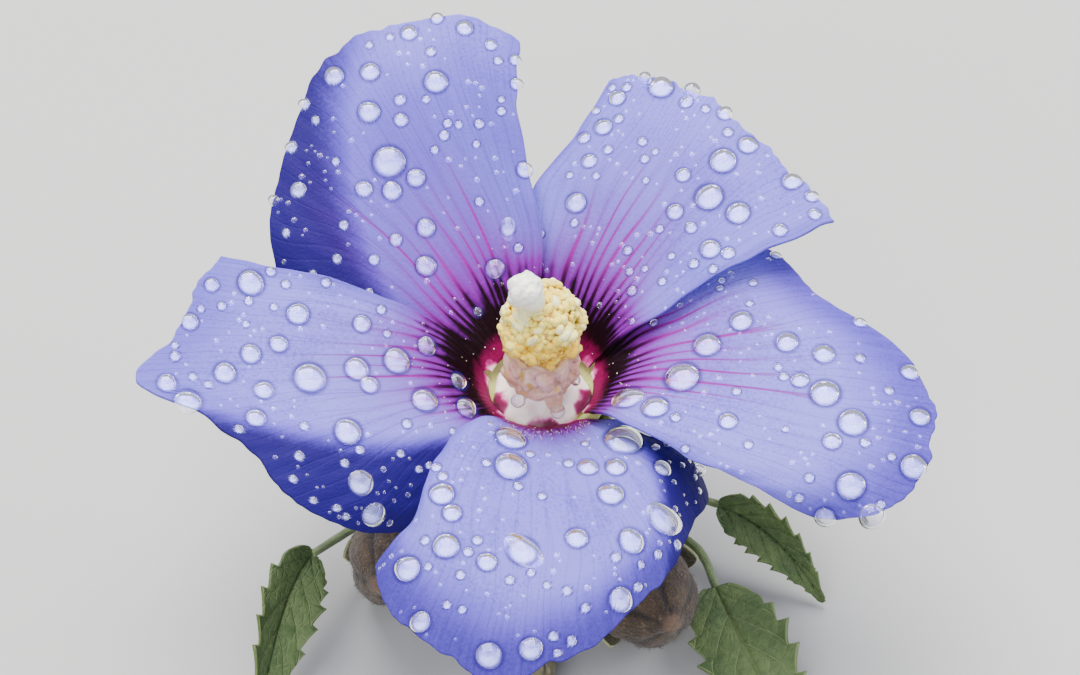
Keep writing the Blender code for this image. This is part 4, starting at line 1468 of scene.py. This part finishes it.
def calyx_point(turn, along):
    """The calyx's outer face, with ribs: turn goes once round, along from foot to lobe tip."""
    angle = 2.0 * math.pi * turn
    lobe = math.cos(0.5 * CALYX_LOBES * (angle - math.radians(CALYX_LOBE_FIRST)))
    edge = CALYX_NOTCH_RADIUS + (CALYX_LOBE_RADIUS - CALYX_NOTCH_RADIUS) * lobe ** 2
    if along < CALYX_CUP:
        radius, height = spline_point(CALYX_PROFILE, along / CALYX_CUP)
    else:
        rim_radius, rim_height = CALYX_PROFILE[-1]
        radius = rim_radius + (edge - rim_radius) * (along - CALYX_CUP) / (1.0 - CALYX_CUP)
        under = RING_HEIGHT + limb_height(radius - CALYX_OUTSET, angle)
        under -= CALYX_DROP + CALYX_SPREAD * (radius - rim_radius)
        blend = ease(radius - rim_radius)
        height = under * blend + rim_height * (1.0 - blend)
    rib = 0.16 * (1.0 - abs(math.sin(7.5 * angle))) ** 3 * ease(along * 4.0)
    radius += rib
    return Vector((radius * math.cos(angle), radius * math.sin(angle), height)) * MM


def hair_tuft(heap, spots, length, thickness, rng):
    """Short bent hairs, each a thin four-sided spike, at (point, normal) spots."""
    for point, normal in spots:
        lean = Vector((rng.uniform(-1, 1), rng.uniform(-1, 1), rng.uniform(-1, 1))) * 0.7
        way = (normal + lean).normalized()
        turn = Vector((0.0, 0.0, 1.0)).rotation_difference(way).to_matrix().to_4x4()
        size = length * rng.uniform(0.5, 1.2) * MM
        place = Matrix.Translation(point + way * size * 0.45) @ turn
        bmesh.ops.create_cone(
            heap.next(), cap_ends=True, segments=3, radius1=thickness * MM, radius2=thickness * 0.15 * MM,
            depth=size, matrix=place)


def scatter_on(mesh, count, rng, keep=None):
    """Random (point, normal) spots on a piece's mesh, by area."""
    faces = [f for f in mesh.polygons if keep is None or keep(f)]
    areas = [f.area for f in faces]
    spots = []
    for face in rng.choices(faces, weights=areas, k=count):
        corners = [mesh.vertices[i].co for i in face.vertices]
        weights = [rng.random() + 0.01 for _ in corners]
        total = sum(weights)
        point = Vector((0.0, 0.0, 0.0))
        for corner, weight in zip(corners, weights):
            point += corner * (weight / total)
        spots.append((point, face.normal.copy()))
    return spots


def make_greens():
    """The calyx, the bracts and the flower's stalk, with their down."""
    rng = random.Random(3)
    green = green_material("calyx_green", CALYX_DARK, CALYX_LIGHT, 15.0)
    bm, spots = mapped_grid(CALYX_CELLS)
    for vert, (turn, along) in spots.items():
        vert.co = calyx_point(turn, along)
    bmesh.ops.remove_doubles(bm, verts=bm.verts[:], dist=0.01 * MM)
    low = (CALYX_PROFILE[0][1] + 0.3) * MM
    foot = [e for e in bm.edges if e.is_boundary and e.verts[0].co.z < low]
    bmesh.ops.holes_fill(bm, edges=foot, sides=0)
    bmesh.ops.recalc_face_normals(bm, faces=bm.faces[:])
    lowest = min(bm.faces, key=lambda f: f.calc_center_median().z)
    if lowest.normal.z > 0.0:
        bmesh.ops.reverse_faces(bm, faces=bm.faces[:])
    calyx = new_piece("calyx_cup", bm, [green], "calyx", "calyx")
    down = Heap()
    hair_tuft(down, scatter_on(calyx.data, CALYX_HAIRS, rng), 0.42, 0.028, rng)
    add_skin(calyx, CALYX_SKIN)

    bracts = bmesh.new()
    names = []
    for i in range(BRACTS):
        turn = 2.0 * math.pi * (i + 0.5) / BRACTS

        def place(across, along, turn=turn):
            root = ease((BRACT_ROOT - along) / BRACT_ROOT)
            out = BRACT_START_RADIUS + BRACT_LENGTH * along - BRACT_ROOT_REACH * root
            wide = BRACT_HALF_WIDTH * across * (1.0 - 0.85 * along ** 1.5)
            high = BRACT_START_HEIGHT + BRACT_LENGTH * along * math.tan(math.radians(BRACT_RISE)) * along
            high += 0.12 * abs(across) + BRACT_ROOT_RISE * root
            return Vector((
                out * math.cos(turn) - wide * math.sin(turn),
                out * math.sin(turn) + wide * math.cos(turn),
                high)) * MM
        blade_mesh, _ = sheet_mesh((8, 40), place)
        join_mesh(bracts, blade_mesh)
        names.append(f"bract_{i + 1}")
    bract_green = green_material("bract_green", BRACT_DARK, BRACT_LIGHT, 1.0)
    bract_piece = new_piece("bract_blades", bracts, [bract_green], "calyx", *names)
    hair_tuft(down, scatter_on(bract_piece.data, BRACT_HAIRS, rng), 0.36, 0.025, rng)
    add_skin(bract_piece, BRACT_SKIN)

    def stalk_relief(turn, along):
        ribs = 0.05 * math.sin(2.0 * math.pi * turn * 7.0)
        foot = 0.5 * math.exp(-(along / 0.07) ** 2)
        top = 0.35 * math.exp(-((along - 1.0) / 0.08) ** 2)
        return ribs + foot + top + 0.05 * waver(turn * 6.0, along * 30.0, 0.0)
    stalk_green = green_material("stalk_green", STALK_DARK, STALK_LIGHT, 4.0)
    stalk = tube_mesh(lengthened(STALK_ROUTE, 1.2, 0.9), 40, 90, stalk_relief, Vector((1.0, 0.0, 0.0)))
    stalk_piece = new_piece("flower_stalk_skin", stalk, [stalk_green, stalk_green], "calyx", "flower_stalk")
    hair_tuft(down, scatter_on(stalk_piece.data, STALK_HAIRS, rng), 0.32, 0.022, rng)
    pale_hair = hair_material("pale_down", DOWN_GREEN, DOWN_PALE)
    new_piece("green_down", down.whole(), [pale_hair], "calyx")
    return stalk_green


def make_twig():
    """The twig with swollen joints, pores, cracks and pale cut ends."""
    rng = random.Random(23)
    pores = {}
    for _ in range(PORES):
        along = rng.random()
        pores.setdefault(int(along * PORE_BINS), []).append((rng.random(), along))

    def relief(turn, along):
        value = 0.0
        for joint in TWIG_JOINTS:
            value += 0.32 * math.exp(-((along - joint) / 0.012) ** 2)
        value += 0.12 * waver(turn * 9.0, along * 14.0, 1.0)
        value += 0.07 * waver(math.sin(2 * math.pi * turn) * 6.0, along * 30.0, turn)
        return value + 0.10 * pore_at(turn, along) - 0.12

    def pore_at(turn, along):
        best = 0.0
        bin_number = int(along * PORE_BINS)
        for near in (bin_number - 1, bin_number, bin_number + 1):
            for t, a in pores.get(near, ()):
                across = min(abs(turn - t), 1.0 - abs(turn - t)) / 0.022
                up = (along - a) / 0.008
                best = max(best, math.exp(-2.0 * (across * across + up * up)))
        return best
    bm = tube_mesh(TWIG_ROUTE, 64, 360, relief)
    pore = bm.verts.layers.float.new("pore")
    turned = bm.verts.layers.float["turn"]
    gone = bm.verts.layers.float["along"]
    for vert in bm.verts:
        vert[pore] = pore_at(vert[turned], vert[gone])
    new_piece("twig_bark", bm, [bark_material(), cut_wood_material()], "bark", "twig")


def make_capsules(stalk_green):
    """Felted five-valved capsules, each on its stalk in the remains of its calyx."""
    rng = random.Random(31)
    husk = capsule_material()
    fuzz = Heap()
    remains = bmesh.new()
    for name, capsule in CAPSULES.items():
        aim = Vector(capsule["tip"])
        turn = Vector((0.0, 0.0, 1.0)).rotation_difference(aim)
        centre = Vector(capsule["centre"])
        bm = bmesh.new()
        bmesh.ops.create_uvsphere(bm, u_segments=120, v_segments=72, radius=1.0)
        seam = bm.verts.layers.float.new("seam")
        beak = bm.verts.layers.float.new("beak")
        for vert in bm.verts:
            x, y, z = vert.co
            angle = math.atan2(y, x)
            between = abs(math.sin(0.5 * CAPSULE_VALVES * angle))
            cleft = math.exp(-((1.0 - between) / 0.05)) * ease((z + 0.7) / 0.5)
            rib = 1.0 - 0.05 * between ** 4 - 0.05 * cleft
            taper = 1.0 - 0.22 * max(0.0, z) ** 2
            rough = 0.025 * noise.noise(vert.co * 5.0) + 0.012 * noise.noise(vert.co * 14.0)
            girth = capsule["girth"] * (rib * taper + rough)
            point = 0.12 * ease((z - 0.9) / 0.1)
            ovoid = Vector((x * girth, y * girth, z * capsule["half"] * (1.0 + point + rough * 0.5)))
            vert.co = (turn @ ovoid + centre) * MM
            vert[seam] = cleft * (1.0 - point / 0.12)
            vert[beak] = ease((z - 0.955) / 0.035)
        piece = new_piece(f"{name}_husk", bm, [husk], "capsule", name)
        hair_tuft(fuzz, scatter_on(piece.data, CAPSULE_HAIRS, rng), 0.5, 0.03, rng)
        foot = centre - aim * (capsule["half"] + 0.5)
        route = capsule["stalk"] + ((*foot, 1.2),)

        def stalk_relief(turn, along):
            return 0.05 * waver(turn * 5.0, along * 16.0, 3.0)
        stalk = tube_mesh(lengthened(route, 1.8, 1.2), 28, 90, stalk_relief)
        new_piece(f"{name}_stalk_skin", stalk, [stalk_green, stalk_green], "calyx", f"{name}_stalk")

        for i in range(CALYX_LOBES):
            bearing = 2.0 * math.pi * (i + 0.5) / CALYX_LOBES

            def place(across, along, bearing=bearing):
                lift = -1.02 + 0.95 * along
                ring = math.sqrt(max(1.0 - min(lift, 0.0) ** 2, 0.02))
                out = capsule["girth"] * (ring + 0.06 + 0.14 * along ** 2)
                wide = bearing + across * 0.62 * (1.0 - along ** 1.6) ** 0.8
                spot = Vector((
                    out * math.cos(wide), out * math.sin(wide), capsule["half"] * lift))
                spot = turn @ spot + centre
                spot.z = max(spot.z, REMAINS_SKIN + FLOOR_GAP)
                return spot * MM
            lobe, _ = sheet_mesh((12, 24), place)
            join_mesh(remains, lobe)
    dry = green_material("dry_calyx", DRY_DARK, DRY_LIGHT, 2.0)
    remains_piece = new_piece("capsule_calyx_remains", remains, [dry], "calyx")
    add_skin(remains_piece, REMAINS_SKIN)
    brown_hair = hair_material("capsule_felt", FELT_DARK, HUSK_FELT)
    new_piece("capsule_fuzz", fuzz.whole(), [brown_hair], "capsule")


# Leaves.

def leaf_frame(leaf, along):
    """A point of the midrib, with the blade's sideways and upward directions there."""
    base, middle, tip = [Vector(p) for p in leaf["midrib"]]
    point = base * (1.0 - along) ** 2 + middle * 2.0 * along * (1.0 - along) + tip * along ** 2
    tangent = ((middle - base) * (1.0 - along) + (tip - middle) * along).normalized()
    side = tangent.cross(Vector((0.0, 0.0, 1.0))).normalized()
    up = side.cross(tangent)
    roll = math.radians(leaf["roll"])
    return point, side * math.cos(roll) + up * math.sin(roll), up * math.cos(roll) - side * math.sin(roll)


def leaf_skin(leaf, across, along):
    """A leaf's upper face with teeth, quilting between its veins and a curled rim."""
    point, side, up = leaf_frame(leaf, along)
    half = leaf["half_width"] * math.sin(math.pi * (0.03 + 0.96 * along) ** 0.72) ** 0.85
    reach = abs(across)
    saw = along * LEAF_TEETH + (0.0 if across > 0.0 else 0.4)
    saw -= math.floor(saw)
    tooth = (0.26 * (1.0 - saw) ** 1.5 - 0.14) * ease((along - 0.12) / 0.1) * reach ** 3
    rank = (along - 0.30 * reach) * LEAF_SIDE_VEINS
    gap = abs(rank - round(rank))
    quilt = -0.20 * math.exp(-(gap / 0.10) ** 2) * (1.0 - 0.5 * reach)
    quilt -= 0.35 * math.exp(-(reach / 0.05) ** 2)
    curl = 0.10 * half * reach ** 3 * math.sin(9.0 * along + 2.0 * across)
    flat = ease(leaf_frame(leaf, along)[0].z / 2.0)
    sideways = side * half * across * (1.0 + tooth)
    lift = half * leaf["fold"] * reach + (quilt + curl) * flat
    spot = point + sideways + up * lift
    spot.z = max(spot.z, LEAF_SKIN + FLOOR_GAP)
    return spot * MM


def make_leaves():
    """The three leaves with their stalks."""
    face = leaf_material("leaf_face", LEAF_DARK, LEAF_LIGHT, LEAF_VEIN, 0.42)
    under = leaf_material("leaf_under", UNDER_DARK, UNDER_LIGHT, UNDER_VEIN, 0.5)
    stem = green_material("leaf_stalk_green", STEM_DARK, STEM_LIGHT, 3.0)
    for name, leaf in LEAVES.items():
        def place(across, along, leaf=leaf):
            return leaf_skin(leaf, across, along)
        bm, _ = sheet_mesh(LEAF_CELLS, place)
        piece = new_piece(f"{name}_blade", bm, [face, under], "leaf", name)
        add_skin(piece, LEAF_SKIN, 1)

        def relief(turn, along):
            return 0.04 * waver(turn * 5.0, along * 22.0, 7.0)
        stalk = tube_mesh(lengthened(leaf["stalk"], 2.0, 0.8), 24, 120, relief)
        new_piece(f"{name}_stalk_skin", stalk, [stem, stem], "leaf", f"{name}_stalk")


# Floor, lamps and camera. Each lamp has its place, size, power in watts and colour.
LAMPS = (
    ("key_lamp", (-60, 240, 560), 520, 12.5, (1.0, 0.99, 0.97)),
    ("fill_lamp", (-200, -380, 330), 380, 2.4, (0.96, 0.97, 1.0)),
    ("side_lamp", (420, 60, 240), 260, 1.8, (0.95, 0.96, 1.0)))
AIR_COLOUR = (0.86, 0.90, 1.0, 1.0)
AIR_STRENGTH = 0.50
FLOOR_DARK = (0.40, 0.40, 0.39, 1.0)
FLOOR_LIGHT = (0.44, 0.44, 0.43, 1.0)

def make_stage():
    """A pale floor under soft studio lamps."""
    bm = bmesh.new()
    bmesh.ops.create_grid(bm, x_segments=4, y_segments=4, size=1.6)
    mesh = bpy.data.meshes.new("floor")
    bm.to_mesh(mesh)
    bm.free()
    floor = bpy.data.objects.new("floor", mesh)
    bpy.context.scene.collection.objects.link(floor)
    material, s, shader = new_material("floor_paper", 0.7)
    tone = s.noise(s.place(), 0.004, 2.0)
    s.put(shader.inputs["Base Color"], s.mix(tone, FLOOR_DARK, FLOOR_LIGHT))
    mesh.materials.append(material)
    world = bpy.data.worlds.new("studio_air")
    world.use_nodes = True
    air = world.node_tree.nodes["Background"]
    air.inputs["Color"].default_value = AIR_COLOUR
    air.inputs["Strength"].default_value = AIR_STRENGTH
    bpy.context.scene.world = world
    for lamp in LAMPS:
        add_lamp(*lamp)


def add_lamp(name, place, size, power, colour):
    """A square soft lamp that faces the bloom."""
    lamp = bpy.data.lights.new(name, "AREA")
    lamp.size = size * MM
    lamp.energy = power
    lamp.color = colour
    stand = bpy.data.objects.new(name, lamp)
    stand.location = Vector(place) * MM
    away = Vector(place) - Vector((0.0, 0.0, RING_HEIGHT))
    stand.rotation_euler = away.to_track_quat("Z", "Y").to_euler()
    bpy.context.scene.collection.objects.link(stand)


def make_camera():
    _, _, back = camera_axes()
    lens = bpy.data.cameras.new("camera")
    lens.lens = LENS
    lens.sensor_width = SENSOR
    lens.sensor_fit = "HORIZONTAL"
    lens.clip_start = 0.01
    camera = bpy.data.objects.new("camera", lens)
    camera.location = (VIEW_CENTRE + back * VIEW_DISTANCE) * MM
    camera.rotation_euler = (math.radians(90.0 - VIEW_ELEVATION), 0.0, 0.0)
    bpy.context.scene.collection.objects.link(camera)
    bpy.context.scene.camera = camera


make_camera()
make_stage()
petal_surfaces = make_petals()
rain = make_drops(petal_surfaces)
make_column(rain)
make_grains(petal_surfaces)
green_stalk = make_greens()
make_twig()
make_capsules(green_stalk)
make_leaves()
